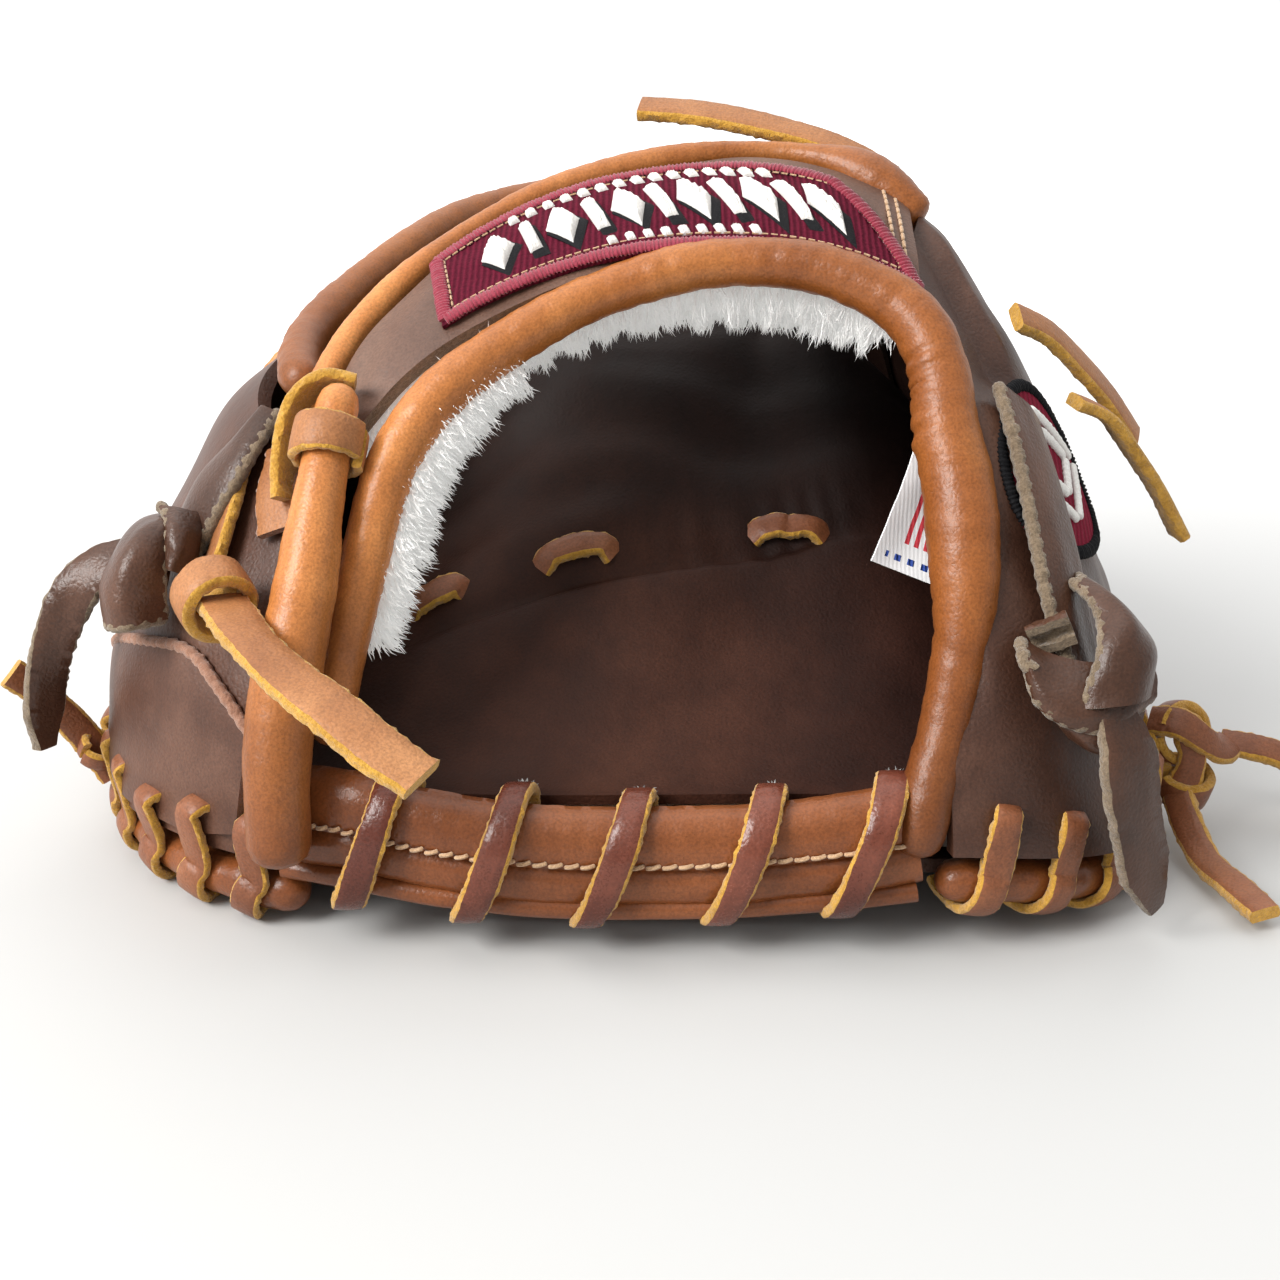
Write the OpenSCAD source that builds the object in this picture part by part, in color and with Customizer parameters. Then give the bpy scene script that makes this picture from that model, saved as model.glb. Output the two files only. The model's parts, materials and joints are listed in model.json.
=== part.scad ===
// Baseball catcher's mitt, lying palm down. +Y points to the fingers, +X to the thumb, +Z to the back of the hand.

/* [Outline] */
// Palm centre to the pinky edge
pinky_half = 154; // [152:1:156]
// Palm centre to the thumb edge
thumb_half = 88; // [87:1:90]
// Palm centre to the heel
heel_len = 130; // [129:1:132]
// Palm centre to the finger tips
finger_len = 160; // [156:1:164]

/* [Height] */
// Top of the back above the table
dome_h = 145; // [144:1:147]
// Depth of the ball pocket
pocket_h = 85; // [82:1:87]
// Top of the hand lining above the table
lining_h = 100; // [99:1:102]
// Bottom edge of the back leather above the table
edge_z = 14; // [14:0.5:15]
// Lift of the heel above the table
heel_lift = 8; // [7:1:9]

/* [Leather] */
// Thickness of the back leather
leather_t = 3; // [2.5:0.25:3]
// Thickness of the palm leather
palm_t = 3; // [2.5:0.25:3]
// Thickness of the hand lining
lining_t = 2; // [1.5:0.25:2]
// Width of a rawhide lace
lace_w = 6.5; // [6:0.25:7]
// Thickness of a rawhide lace
lace_t = 2.6; // [2.2:0.2:2.8]

/* [Rolls] */
// Radius of the roll round the hand opening
main_roll_r = 5.3; // [5:0.1:5.4]
// Radius of the roll on the pinky side
pinky_roll_r = 6; // [5.5:0.25:6]
// Radius of the roll at the back opening
back_roll_r = 4.6; // [4:0.2:5]
// Radius of the roll round the edge
edge_roll_r = 4.4; // [4:0.1:4.5]
// Radius of the binding on the strap
binding_r = 3.2; // [2.8:0.1:3.4]

/* [Hinge] */
// Height of the fold line above the table
hinge_z = 35; // [35:1:36]
// Furthest closing angle that the split leaves room for
close_deg = 12; // [8:1:12]
// Furthest opening angle that the split leaves room for
open_deg = 3; // [1:1:3]

/* [Hidden] */

walnut = "#5a3322";
dark_walnut = "#47281a";
tan = "#b3672f";
lace_red = "#8a4526";
gold = "#b98a2e";
burgundy = "#7a1f30";

// The palm centre, and the direction of the fold line from the heel to the web
centre = [30, 130];
split_a = 80.4;
split_side = [sin(split_a), -cos(split_a)];
heel_a = -92;
heel_half_a = 28;
heel_squareness = 3.4;
finger_squareness = 2.3;
gap = 0.4;
palm_inset = 12.5;
ring_r = 0.9;
lip_h = 8;
palm_rows = [0.03, 0.2, 0.38, 0.54, 0.68, 0.8, ring_r, 0.96, 1];
shell_rows = [0, 0.2, 0.4, 0.58, 0.74, 0.87, 0.96, 1];
roll_inset = 4.6;
roll_drop = 7.2;
lace_pitch = 14;
web_in_r = 0.6;
web_finger_a = 97;
web_thumb_a = 64;

// Plan angle and share of the radius along the free edges of the two back shells
finger_edge = [[80, 0.18], [120, 0.3], [150, 0.46], [180, 0.6], [200, 0.73], [215, 0.78], [224, 0.82], [230, 0.97]];
thumb_edge = [[-74, 0.98], [-71.5, 0.94], [-70, 0.85], [-69, 0.77], [-66, 0.69], [-61, 0.66], [-55, 0.64], [-40, 0.57],
    [0, 0.5], [40, 0.3], [80, 0.18]];

// Plan points of the strap's two edges, from the pinky end to the thumb end
strap_front = [[-57, 43], [-48, 50], [-32, 58], [-5, 66], [24, 67], [43, 62], [56, 55]];
strap_rear = [[-62, 52], [-54, 64], [-37, 78], [-9, 91], [22, 96], [42, 91], [57, 83]];
binding_line = [[-66, 55], [-58, 68], [-40, 83], [-11, 96], [22, 101], [43, 96], [59, 87]];

strap_roll_path = [[-58, 21, 50], [-53, 29, 72], [-47, 38, 90], [-31, 49, 106], [-5, 58, 119], [24, 59, 124],
    [38, 56, 122], [49, 51, 117]];
thumb_roll_path = [[59, 36, 93], [61, 30, 82], [62, 22, 68], [60, 15, 53], [57, 10, 41], [54, 6, 31]];
pinky_roll_path = [[-68, 3, 23], [-68, 6, 36], [-66.5, 10.5, 49], [-64, 16, 63], [-61.5, 23.5, 77], [-60, 31, 89],
    [-59, 38.5, 98]];

tie_tail_path = [[-79, 19, 66], [-70, 3, 64], [-61, -8, 61], [-52, -16, 58], [-44, -22, 54], [-36, -26, 50]];
top_tail_path = [[55, 97, 138], [44, 102, 144], [30, 107, 148], [14, 111, 151], [0, 114, 152]];
upper_tail_path = [[78, 67, 112], [86, 71, 108], [94, 74, 101], [102, 77, 93], [109, 79, 84]];
lower_tail_path = [[91, 64, 95], [99, 67, 91], [106, 70, 83], [113, 72, 74], [120, 74, 63]];
long_lace_path = [[130, 60, 19], [140, 57, 18], [152, 54, 13], [166, 51, 8], [180, 49, 5], [196, 48, 4],
    [212, 48, 4], [228, 49, 4]];
short_lace_path = [[118, 50, 11], [118, 41, 7], [119, 31, 4], [121, 21, 4], [123, 10, 4]];

// Middle of the footprint, which the finished parts are moved to
footprint = [-3.8, 145];

// ---- curves and surfaces

function wrap(a) = a > 180 ? a - 360 : a;
function unit(v) = v / norm(v);
function mix(a, b, t) = a + (b - a) * t;

// One point of a smooth curve through points, at t from 0 to 1
function curve_at(points, t) =
    let(n = len(points) - 1,
        k = min(n - 1, floor(t * n)),
        f = t * n - k,
        p0 = points[max(0, k - 1)],
        p1 = points[k],
        p2 = points[k + 1],
        p3 = points[min(n, k + 2)])
    0.5 * (2 * p1 + (p2 - p0) * f + (2 * p0 - 5 * p1 + 4 * p2 - p3) * f * f
        + (3 * p1 - p0 - 3 * p2 + p3) * f * f * f);

function curve(points, count) = [for (i = [0:count]) curve_at(points, i / count)];

// Distance from the palm centre to the outline in plan direction a, off mm inside it
function rim_r(a, off = 0) =
    let(c = cos(a),
        s = sin(a),
        hx = (c < 0 ? pinky_half : thumb_half) - off,
        hy = (s < 0 ? heel_len : finger_len) - off,
        n = s < 0 ? heel_squareness : finger_squareness)
    pow(pow(abs(c / hx), n) + pow(abs(s / hy), n), -1 / n);

function heel_bump(a) = exp(-pow((wrap(a) - heel_a) / heel_half_a, 4));
function rim_z(a) = edge_z + heel_lift * heel_bump(a);

// The back is a dome: its fullness changes from the thumb side to the pinky side, the heel and the fingers
function dome_p(a) = pow(cos(a), 2) * (cos(a) < 0 ? 2.0 : 1.8) + pow(sin(a), 2) * (sin(a) < 0 ? 2.6 : 1.5);
function dome_q(a) = pow(cos(a), 2) * (cos(a) < 0 ? 0.56 : 1.05) + pow(sin(a), 2) * (sin(a) < 0 ? 0.75 : 0.8);
function dome(a, r, off = 0) =
    let(d = min(r, 1) * rim_r(a, off),
        z0 = rim_z(a))
    [centre.x + d * cos(a), centre.y + d * sin(a),
        z0 + (dome_h - off - z0) * pow(1 - pow(min(r, 1), dome_p(a)), dome_q(a))];
function dome_over(p, off = 0) =
    let(v = [p.x, p.y] - centre,
        a = atan2(v.y, v.x))
    dome(a, norm(v) / rim_r(a, off), off);
function dome_normal(p) =
    let(e = 2,
        c = dome_over(p),
        u = dome_over([p.x + e, p.y]) - c,
        v = dome_over([p.x, p.y + e]) - c)
    unit(cross(u, v));

// The palm layers are heights over the plan: the catching face below and the hand lining above
function heel_share(a) = pow(max(0, -sin(a)), 2);
function catch_z(a, r) =
    let(w = heel_share(a),
        z0 = (heel_lift + 4) * heel_bump(a),
        k = min(1, r / ring_r),
        lip = lip_h * (1 - w) * pow(max(0, (r - ring_r) / (1 - ring_r)), 2))
    z0 + (pocket_h - z0) * pow(1 - pow(k, mix(2, 1.5, w)), mix(1.8, 2, w)) + lip;
function lining_z(a, r) =
    let(w = heel_share(a),
        z0 = mix(24, 29, w))
    z0 + (lining_h - z0) * pow(1 - pow(r, mix(2, 1.3, w)), mix(1.8, 2, w));

// Room that the thumb side leaves at the split, so that it can fold
function split_gap(z) =
    0.8 + tan(close_deg + 0.5) * max(0, hinge_z - z) + tan(open_deg + 0.5) * max(0, z - hinge_z);

// Plan point of a palm layer; the thumb half stands off from the fold line
function palm_xy(a, r, z, thumb) =
    let(d = [cos(a), sin(a)],
        along = d * split_side,
        base = split_gap(lining_h),
        edge = abs(along) < 0.01 ? max(0, split_gap(z) - base) : 0,
        shift = thumb ? base * (1 - r * pow(max(0, along), 0.35)) + edge : 0)
    centre + r * rim_r(a, palm_inset) * d + shift * split_side;

function half_angles(thumb, count) =
    [for (i = [0:count]) thumb ? split_a - 180 + 180 * i / count : split_a + 180 * i / count];

// ---- solids

module placed() {
    translate([-footprint.x, -footprint.y, 0]) children();
}

// Children with their Z axis turned to direction d, at point p
module along(p, d) {
    translate(p) rotate([0, acos(unit(d).z), atan2(d.y, d.x)]) children();
}

// Faces of a closed slab between two grids of rows x cols points, the top grid first
function grid_faces(rows, cols, start, flip) =
    [for (i = [0:rows - 2]) for (j = [0:cols - 2])
        let(a = start + i * cols + j,
            b = a + 1,
            c = a + cols + 1,
            d = a + cols)
        for (f = flip ? [[a, c, b], [a, d, c]] : [[a, b, c], [a, c, d]]) f];
function rim_loop(rows, cols) =
    concat([for (j = [0:cols - 1]) j],
        [for (i = [1:rows - 1]) i * cols + cols - 1],
        [for (j = [cols - 2:-1:0]) (rows - 1) * cols + j],
        [for (i = [rows - 2:-1:1]) i * cols]);

module slab(top, bottom) {
    rows = len(top);
    cols = len(top[0]);
    count = rows * cols;
    points = concat([for (row = top) for (p = row) p], [for (row = bottom) for (p = row) p]);
    loop = rim_loop(rows, cols);
    walls = [for (k = [0:len(loop) - 1])
        let(a = loop[k],
            b = loop[(k + 1) % len(loop)])
        for (f = [[a, b, a + count], [b, b + count, a + count]]) f];
    polyhedron(points, concat(grid_faces(rows, cols, 0, true), grid_faces(rows, cols, count, false), walls));
}

// A profile of [side, up] points carried along a path; ups gives the up direction at each path point
module sweep(path, profile, ups) {
    n = len(path);
    m = len(profile);
    rings = [for (i = [0:n - 1])
        let(t = unit(path[min(n - 1, i + 1)] - path[max(0, i - 1)]),
            s = unit(cross(t, ups[i])),
            u = cross(s, t))
        for (q = profile) path[i] + q.x * s + q.y * u];
    sides = [for (i = [0:n - 2]) for (j = [0:m - 1])
        let(a = i * m + j,
            b = i * m + (j + 1) % m,
            c = b + m,
            d = a + m)
        for (f = [[a, b, c], [a, c, d]]) f];
    first = [for (j = [m - 1:-1:0]) j];
    last = [for (j = [0:m - 1]) (n - 1) * m + j];
    polyhedron(rings, concat(sides, [first, last]));
}

function round_profile(r, count) = [for (j = [0:count - 1]) r * [cos(360 * j / count), sin(360 * j / count)]];

// A flat strip with eight corners, w wide and t thick
function strip_profile(w, t) =
    let(x = w / 2,
        y = t / 2,
        c = min(x, y) * 0.45)
    [[x, y - c], [x - c, y], [c - x, y], [-x, y - c], [-x, c - y], [c - x, -y], [x - c, -y], [x, c - y]];

module tube(path, r, count, up) {
    sweep(path, round_profile(r, count), [for (p = path) up]);
}

module strip(path, w, t, up) {
    sweep(path, strip_profile(w, t), [for (p = path) up]);
}

// A strip that lies on the dome, its middle lift mm above it
module dome_strip(plan, w, t, lift) {
    sweep([for (p = plan) dome_over(p, -lift)], strip_profile(w, t), [for (p = plan) dome_normal(p)]);
}

// Shell of the back between two plan angles, from its free edge to the rim
module back_shell(angles, edge, outer, inner) {
    slab([for (a = angles) [for (k = shell_rows) dome(a, mix(lookup(a, edge), 1, k), outer)]],
        [for (a = angles) [for (k = shell_rows) dome(a, mix(lookup(a, edge), 1, k), inner)]]);
}

// One layer of the palm: under is 0 for the leather, 1 for the pad and 2 for the lining
function layer_top(a, r, under) =
    under == 0 ? catch_z(a, r) + palm_t : under == 1 ? lining_z(a, r) - lining_t - gap : lining_z(a, r);
function layer_bottom(a, r, under) =
    under == 0 ? catch_z(a, r) : under == 1 ? catch_z(a, r) + palm_t + gap : lining_z(a, r) - lining_t;

module palm_layer(thumb, under) {
    angles = half_angles(thumb, thumb ? 16 : 22);
    slab([for (a = angles) [for (r = palm_rows)
            let(z = layer_top(a, r, under), p = palm_xy(a, r, z, thumb)) [p.x, p.y, z]]],
        [for (a = angles) [for (r = palm_rows)
            let(z = layer_bottom(a, r, under), p = palm_xy(a, r, z, thumb)) [p.x, p.y, z]]]);
}

// The roll of binding round the edge, and the laces whipped over it
function roll_at(a) =
    let(d = rim_r(a, roll_inset))
    [centre.x + d * cos(a), centre.y + d * sin(a), rim_z(a) - roll_drop];

module edge_roll(a0, a1, count) {
    tube([for (i = [0:count]) roll_at(mix(a0, a1, i / count))], edge_roll_r, 10, [0, 0, 1]);
}

module lace_ring(a, inner, outer) {
    step = roll_at(a + 1) - roll_at(a - 1);
    translate(roll_at(a)) rotate([0, 0, atan2(step.y, step.x)]) rotate([0, 90, 0])
        rotate_extrude($fn = 32) translate([(inner + outer) / 2, 0]) square([outer - inner, lace_w], center = true);
}

module edge_laces(a0, a1) {
    count = floor(abs(a1 - a0) * PI / 180 * rim_r((a0 + a1) / 2) / lace_pitch);
    for (i = [0:count]) lace_ring(mix(a0, a1, i / count), edge_roll_r + 0.5, edge_roll_r + 1.9);
}

// ---- the heel

heel_profile = [[4.4, -6], [4.4, 5], [3, 7.6], [0, 8.5], [-3, 7.6], [-4.4, 5], [-4.4, -6], [-3, -8], [3, -8]];

function heel_at(x, off, z) =
    let(a = atan2(-heel_len, x - centre.x),
        d = rim_r(a, off))
    [centre.x + d * cos(a), centre.y + d * sin(a), z];

module heel_band(x0, x1) {
    sweep([for (i = [0:8]) heel_at(mix(x0, x1, i / 8), 5.4, 20.5)], heel_profile, [for (i = [0:8]) [0, 0, 1]]);
}

module heel_pipe(x0, x1) {
    tube([for (i = [0:8]) heel_at(mix(x0, x1, i / 8), 2.6, 10)], 2, 8, [0, 0, 1]);
}

// An open loop of lace over the heel binding, slanting along it
module heel_loop(x) {
    p = heel_at(x, 0, 20.5);
    translate([p.x, p.y, p.z]) rotate([90, 0, 90]) linear_extrude(lace_w, center = true)
        difference() {
            translate([-1.7, -14.6]) square([12.1, 25.2]);
            translate([0.6, -13]) square([20, 22]);
        }
}

// ---- finger side

module finger_back_shell() {
    angles = [for (i = [0:30]) mix(web_finger_a, 230, i / 30)];
    color(walnut) placed() back_shell(angles, finger_edge, 0, leather_t);
}

module finger_palm_leather() { color(walnut) placed() palm_layer(false, 0); }
module finger_palm_pad() { color("white") placed() palm_layer(false, 1); }
module finger_palm_lining() { color(dark_walnut) placed() palm_layer(false, 2); }

// Three leather walls that part the finger stalls, from the lining to the back leather
module finger_stall_walls() {
    reach = [0.56, 0.64, 0.72, 0.8, 0.86];
    color(dark_walnut) placed() for (a = [112, 136, 160])
        let(side = [-sin(a), cos(a), 0],
            low = [for (r = reach)
                let(p = dome(a, r), v = norm([p.x, p.y] - centre) / rim_r(a, palm_inset))
                [p.x, p.y, lining_z(a, min(1, v)) + gap]],
            high = [for (r = reach) let(p = dome(a, r)) [p.x, p.y, dome_over(p, leather_t + 1).z - 1]])
        slab([for (s = [-0.8, 0.8]) [for (p = high) p + s * side]],
            [for (s = [-0.8, 0.8]) [for (p = low) p + s * side]]);
}

module finger_edge_roll() { color(tan) placed() edge_roll(split_a + 0.5, 229, 44); }
module finger_edge_laces() { color(lace_red) placed() edge_laces(split_a + 3, 227); }

module finger_welts() {
    color(tan) placed() for (a = [114, 138, 162, 186])
        tube([for (i = [0:9]) dome(a, mix(lookup(a, finger_edge) + 0.06, 0.99, i / 9), -1.9)], 1.5, 8,
            [-sin(a), cos(a), 0]);
}

module pinky_side_roll() {
    color(tan) placed() tube(curve(pinky_roll_path, 18), pinky_roll_r, 12, [0, 1, 0]);
}

module pinky_overlay() {
    color(walnut) placed() slab([for (a = [-152:3:-134]) [for (r = [0.925, 0.95, 0.975, 0.995]) dome(a, r, -1.9)]],
        [for (a = [-152:3:-134]) [for (r = [0.925, 0.95, 0.975, 0.995]) dome(a, r, -0.4)]]);
}

module back_opening_roll() {
    color(tan) placed() tube([for (i = [0:18]) let(a = mix(99, 208, i / 18)) dome(a, lookup(a, finger_edge) - 0.048, 0.5)],
        back_roll_r, 10, [cos(150), sin(150), 0.2]);
}

module strap_layer(front, rear, top, bottom, ends) {
    f = [for (i = [0:20]) curve_at(front, mix(ends[0], ends[1], i / 20))];
    g = [for (i = [0:20]) curve_at(rear, mix(ends[0], ends[1], i / 20))];
    slab([for (i = [0:20]) [for (k = [0:4]) dome_over(mix(f[i], g[i], 1 - k / 4), top)]],
        [for (i = [0:20]) [for (k = [0:4]) dome_over(mix(f[i], g[i], 1 - k / 4), bottom)]]);
}

module wrist_strap() { color(walnut) placed() strap_layer(strap_front, strap_rear, 0, leather_t, [0, 1]); }

module strap_fur() {
    half = [for (i = [0:6]) mix(strap_front[i], strap_rear[i], 0.75)];
    color("white") placed() strap_layer(strap_front, half, leather_t + gap, leather_t + 7, [0.02, 0.98]);
}

module strap_roll() { color(tan) placed() tube(curve(strap_roll_path, 26), main_roll_r, 12, [0, 1, 0]); }

module strap_binding() {
    color(tan) placed() tube([for (p = curve(binding_line, 22)) dome_over(p, 0.8)], binding_r, 10, [0, 1, 0]);
}

function patch_line(share) = [for (i = [0:6]) mix(strap_front[i], strap_rear[i], share)];

module strap_patch() {
    color(burgundy) placed() strap_layer(patch_line(0.1), patch_line(0.9), -1.9, -gap, [0.2, 0.93]);
}

// Three plain bars of raised stitching in place of any mark
module strap_patch_motif() {
    color("white") placed() for (k = [0:2])
        strap_layer(patch_line([0.24, 0.36, 0.7][k]), patch_line([0.28, 0.62, 0.74][k]), -3.4, -2.2,
            [[0.4, 0.27, 0.36][k], [0.75, 0.86, 0.8][k]]);
}

module heel_binding() { color(tan) placed() heel_band(-59, 7.6); }
module heel_piping() { color(tan) placed() heel_pipe(-58, 7.6); }
module heel_laces() { color(lace_red) placed() for (x = [-50, -27, -4]) heel_loop(x); }

function lining_at(p) =
    let(v = p - centre)
    [p.x, p.y, lining_z(atan2(v.y, v.x), norm(v) / rim_r(atan2(v.y, v.x), palm_inset))];

module lining_lace(p) {
    e = 6;
    n = unit(cross(lining_at(p + [e, 0]) - lining_at(p - [e, 0]), lining_at(p + [0, e]) - lining_at(p - [0, e])));
    translate(lining_at(p) + 2.2 * n) rotate([-asin(n.y), asin(n.x), 0]) rotate([0, 0, 6])
        linear_extrude(2, center = true) union() {
            square([13, 5.5], center = true);
            for (s = [-6.5, 6.5]) translate([s, 0]) circle(d = 5.5);
        }
}

module lining_laces() { color(lace_red) placed() for (p = [[-46, 68], [-14, 72]]) lining_lace(p); }

module pinky_loop_strap() {
    color(dark_walnut) placed() {
        dome_strip([[-76, 57], [-84, 53], [-91, 51], [-96, 50]], 11, 2.4, 2.2);
        strip([[-115, 44, 76], [-120, 42, 64], [-122, 41, 51], [-122, 40, 38]], 10, 2.2, [0.97, 0.2, 0]);
    }
}

module pinky_loop_knot() {
    color(dark_walnut) placed() hull() {
        translate([-104, 41, 71]) sphere(7, $fn = 16);
        translate([-107, 39, 58]) sphere(6.5, $fn = 16);
        translate([-108, 41, 66]) sphere(6.5, $fn = 16);
    }
}

// Lace that ties the top of the pinky roll to the strap
module roll_tie_lace() {
    color(lace_red) placed() along(curve_at(pinky_roll_path, 0.92),
        curve_at(pinky_roll_path, 0.97) - curve_at(pinky_roll_path, 0.87))
        rotate_extrude($fn = 32) translate([pinky_roll_r + 0.9, 0]) square([1, 7], center = true);
}

module pinky_tie_knot() {
    color(tan) placed() hull() {
        translate([-86, 26, 66]) sphere(4.5, $fn = 16);
        translate([-81, 21, 66]) sphere(4.5, $fn = 16);
        translate([-83, 22, 60]) sphere(3.6, $fn = 16);
    }
}

module pinky_tie_tail() { color(tan) placed() strip(curve(tie_tail_path, 12), 8, lace_t, [0.3, 0.5, 0.8]); }
module top_lace_tail() { color(tan) placed() strip(curve(top_tail_path, 10), lace_w, lace_t, [0, 0, 1]); }

module pinky_rim_lace() {
    color(lace_red) placed() strip(curve([[-123, 58, 17], [-128, 54, 22], [-132, 51, 28], [-136, 50, 35]], 6),
        lace_w, lace_t, [0.5, 0.8, 0.3]);
}

function web_grid(a0, a1, side, off) =
    [for (i = [0:4]) [for (k = [0:8])
        let(a = mix(a0, a1, i / 4),
            p = dome(a, mix(web_in_r, 0.995, k / 8), off),
            reach = (p.x - centre.x) * split_side.x + (p.y - centre.y) * split_side.y,
            move = side > 0 ? max(0, 7 - reach) : 0)
        p + move * [split_side.x, split_side.y, 0]]];

module web_panel(a0, a1, side) { slab(web_grid(a0, a1, side, 0), web_grid(a0, a1, side, leather_t)); }

module web_finger_panel() { color(walnut) placed() web_panel(split_a + 0.3, web_finger_a - 0.8, -1); }

module web_stitch(a, r, lift) {
    p = dome(a, r, -lift);
    n = dome_normal(p);
    translate(p) rotate([-asin(n.y), 0, 0]) rotate([0, asin(n.x), 0]) rotate([0, 0, 25])
        linear_extrude(2, center = true) union() {
            square([9, 5], center = true);
            for (s = [-4.5, 4.5]) translate([s, 0]) circle(d = 5);
        }
}

module web_finger_laces() { color(lace_red) placed() for (r = [0.66:0.08:0.94]) web_stitch(split_a + 5.5, r, 2.6); }

// ---- thumb side

module thumb_back_shell() {
    angles = concat([-74, -71.5, -70, -69, -66], [for (i = [0:20]) mix(-61, web_thumb_a, i / 20)]);
    color(walnut) placed() back_shell(angles, thumb_edge, 0, leather_t);
}

module thumb_palm_leather() { color(walnut) placed() palm_layer(true, 0); }
module thumb_palm_pad() { color("white") placed() palm_layer(true, 1); }
module thumb_palm_lining() { color(dark_walnut) placed() palm_layer(true, 2); }

module thumb_edge_roll() { color(tan) placed() edge_roll(-76, split_a - 3.4, 46); }
module thumb_edge_laces() { color(lace_red) placed() edge_laces(-74, split_a - 6); }

module thumb_side_roll() { color(tan) placed() tube(curve(thumb_roll_path, 14), main_roll_r, 12, [0, 1, 0]); }

module thumb_opening_roll() {
    color(tan) placed() tube([for (i = [0:12]) let(a = mix(-52, 60, i / 12)) dome(a, lookup(a, thumb_edge) - 0.085, 0.5)],
        back_roll_r, 10, [1, 0, 0.2]);
}

module thumb_heel_binding() { color(tan) placed() heel_band(14.6, 52); }
module thumb_heel_piping() { color(tan) placed() heel_pipe(15.4, 51); }
module thumb_heel_laces() { color(lace_red) placed() for (x = [21, 44]) heel_loop(x); }
module thumb_lining_lace() { color(lace_red) placed() lining_lace([33, 80]); }

patch_centre = [81, 45];
patch_r = 19;

// Plan point of the dome reached by going across and up in the plane that touches it at the patch's middle
function patch_xy(across, up) =
    let(n = dome_normal(patch_centre),
        e = unit([-n.y, n.x, 0]),
        p = [patch_centre.x, patch_centre.y, 0] + across * e + up * cross(n, e))
    [p.x, p.y];

// A square grid pressed into a disc that lies on the back
function patch_grid(lift) =
    [for (i = [6:-1:-6]) [for (j = [-6:6])
        let(u = i / 6,
            v = j / 6)
        dome_over(patch_xy(patch_r * u * sqrt(1 - v * v / 2), patch_r * v * sqrt(1 - u * u / 2)), -lift)]];

module thumb_patch() { color(burgundy) placed() slab(patch_grid(1.6), patch_grid(gap)); }

// Four plain bars set as a square turned on its corner, in place of any mark
module thumb_patch_motif() {
    color("white") placed() for (k = [0:3])
        let(from = 10.5 * [cos(90 * k + 8), sin(90 * k + 8)],
            to = 10.5 * [cos(90 * k + 82), sin(90 * k + 82)])
        dome_strip([for (t = [0:0.25:1]) patch_xy(mix(from.x, to.x, t), mix(from.y, to.y, t))], 2.4, 0.9, 2.6);
}

module thumb_loop_strap() {
    color(dark_walnut) placed() {
        dome_strip([[70.5, 45], [73, 38], [75.5, 31], [77, 26]], 9, 2.2, 5);
        strip([[86, 4, 44], [89, 3, 32], [93, 4, 20], [97, 6, 8]], 11, 2.2, [0.5, -0.8, 0.2]);
    }
}

module thumb_loop_knot() {
    color(dark_walnut) placed() hull() {
        translate([83, 14, 61]) sphere(7, $fn = 16);
        translate([91, 12, 57]) sphere(7, $fn = 16);
        translate([86, 10, 51]) sphere(6, $fn = 16);
    }
}

module woven_label() {
    color("white") placed() strip(curve([[55, 46, 92], [53, 44, 80], [49, 42, 67]], 6), 15, 1, [0.3, -0.95, 0.1]);
}

module web_thumb_panel() { color(walnut) placed() web_panel(web_thumb_a + 0.8, split_a - 0.3, 1); }
module web_thumb_laces() { color(lace_red) placed() for (r = [0.66:0.08:0.94]) web_stitch(split_a - 8.5, r, 2.6); }

module upper_lace_tail() { color(tan) placed() strip(curve(upper_tail_path, 10), lace_w, lace_t, [0.6, 0, 0.8]); }
module lower_lace_tail() { color(tan) placed() strip(curve(lower_tail_path, 10), lace_w, lace_t, [0.7, 0, 0.7]); }

module rim_lace_knot() {
    color(tan) placed() {
        translate([125, 60, 20]) rotate([90, 0, 20]) rotate_extrude($fn = 32) translate([4, 0]) circle(2.4, $fn = 24);
        translate([122, 54, 11]) sphere(4.2);
    }
}

module long_rim_lace() { color(tan) placed() strip(curve(long_lace_path, 18), lace_w, lace_t, [0, 0, 1]); }
module short_rim_lace() { color(tan) placed() strip(curve(short_lace_path, 12), lace_w, lace_t, [0, 0, 1]); }

finger_back_shell();
finger_palm_leather();
finger_palm_pad();
finger_palm_lining();
finger_stall_walls();
finger_edge_roll();
finger_edge_laces();
finger_welts();
pinky_side_roll();
pinky_overlay();
back_opening_roll();
wrist_strap();
strap_roll();
strap_binding();
strap_fur();
strap_patch();
strap_patch_motif();
heel_binding();
heel_piping();
heel_laces();
lining_laces();
pinky_loop_strap();
pinky_loop_knot();
roll_tie_lace();
pinky_tie_knot();
pinky_tie_tail();
top_lace_tail();
pinky_rim_lace();
web_finger_panel();
web_finger_laces();
thumb_back_shell();
thumb_palm_leather();
thumb_palm_pad();
thumb_palm_lining();
thumb_edge_roll();
thumb_edge_laces();
thumb_side_roll();
thumb_opening_roll();
thumb_heel_binding();
thumb_heel_piping();
thumb_heel_laces();
thumb_lining_lace();
thumb_patch();
thumb_patch_motif();
thumb_loop_strap();
thumb_loop_knot();
woven_label();
web_thumb_panel();
web_thumb_laces();
upper_lace_tail();
lower_lace_tail();
rim_lace_knot();
long_rim_lace();
short_rim_lace();
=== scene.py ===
import json
import math

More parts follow.
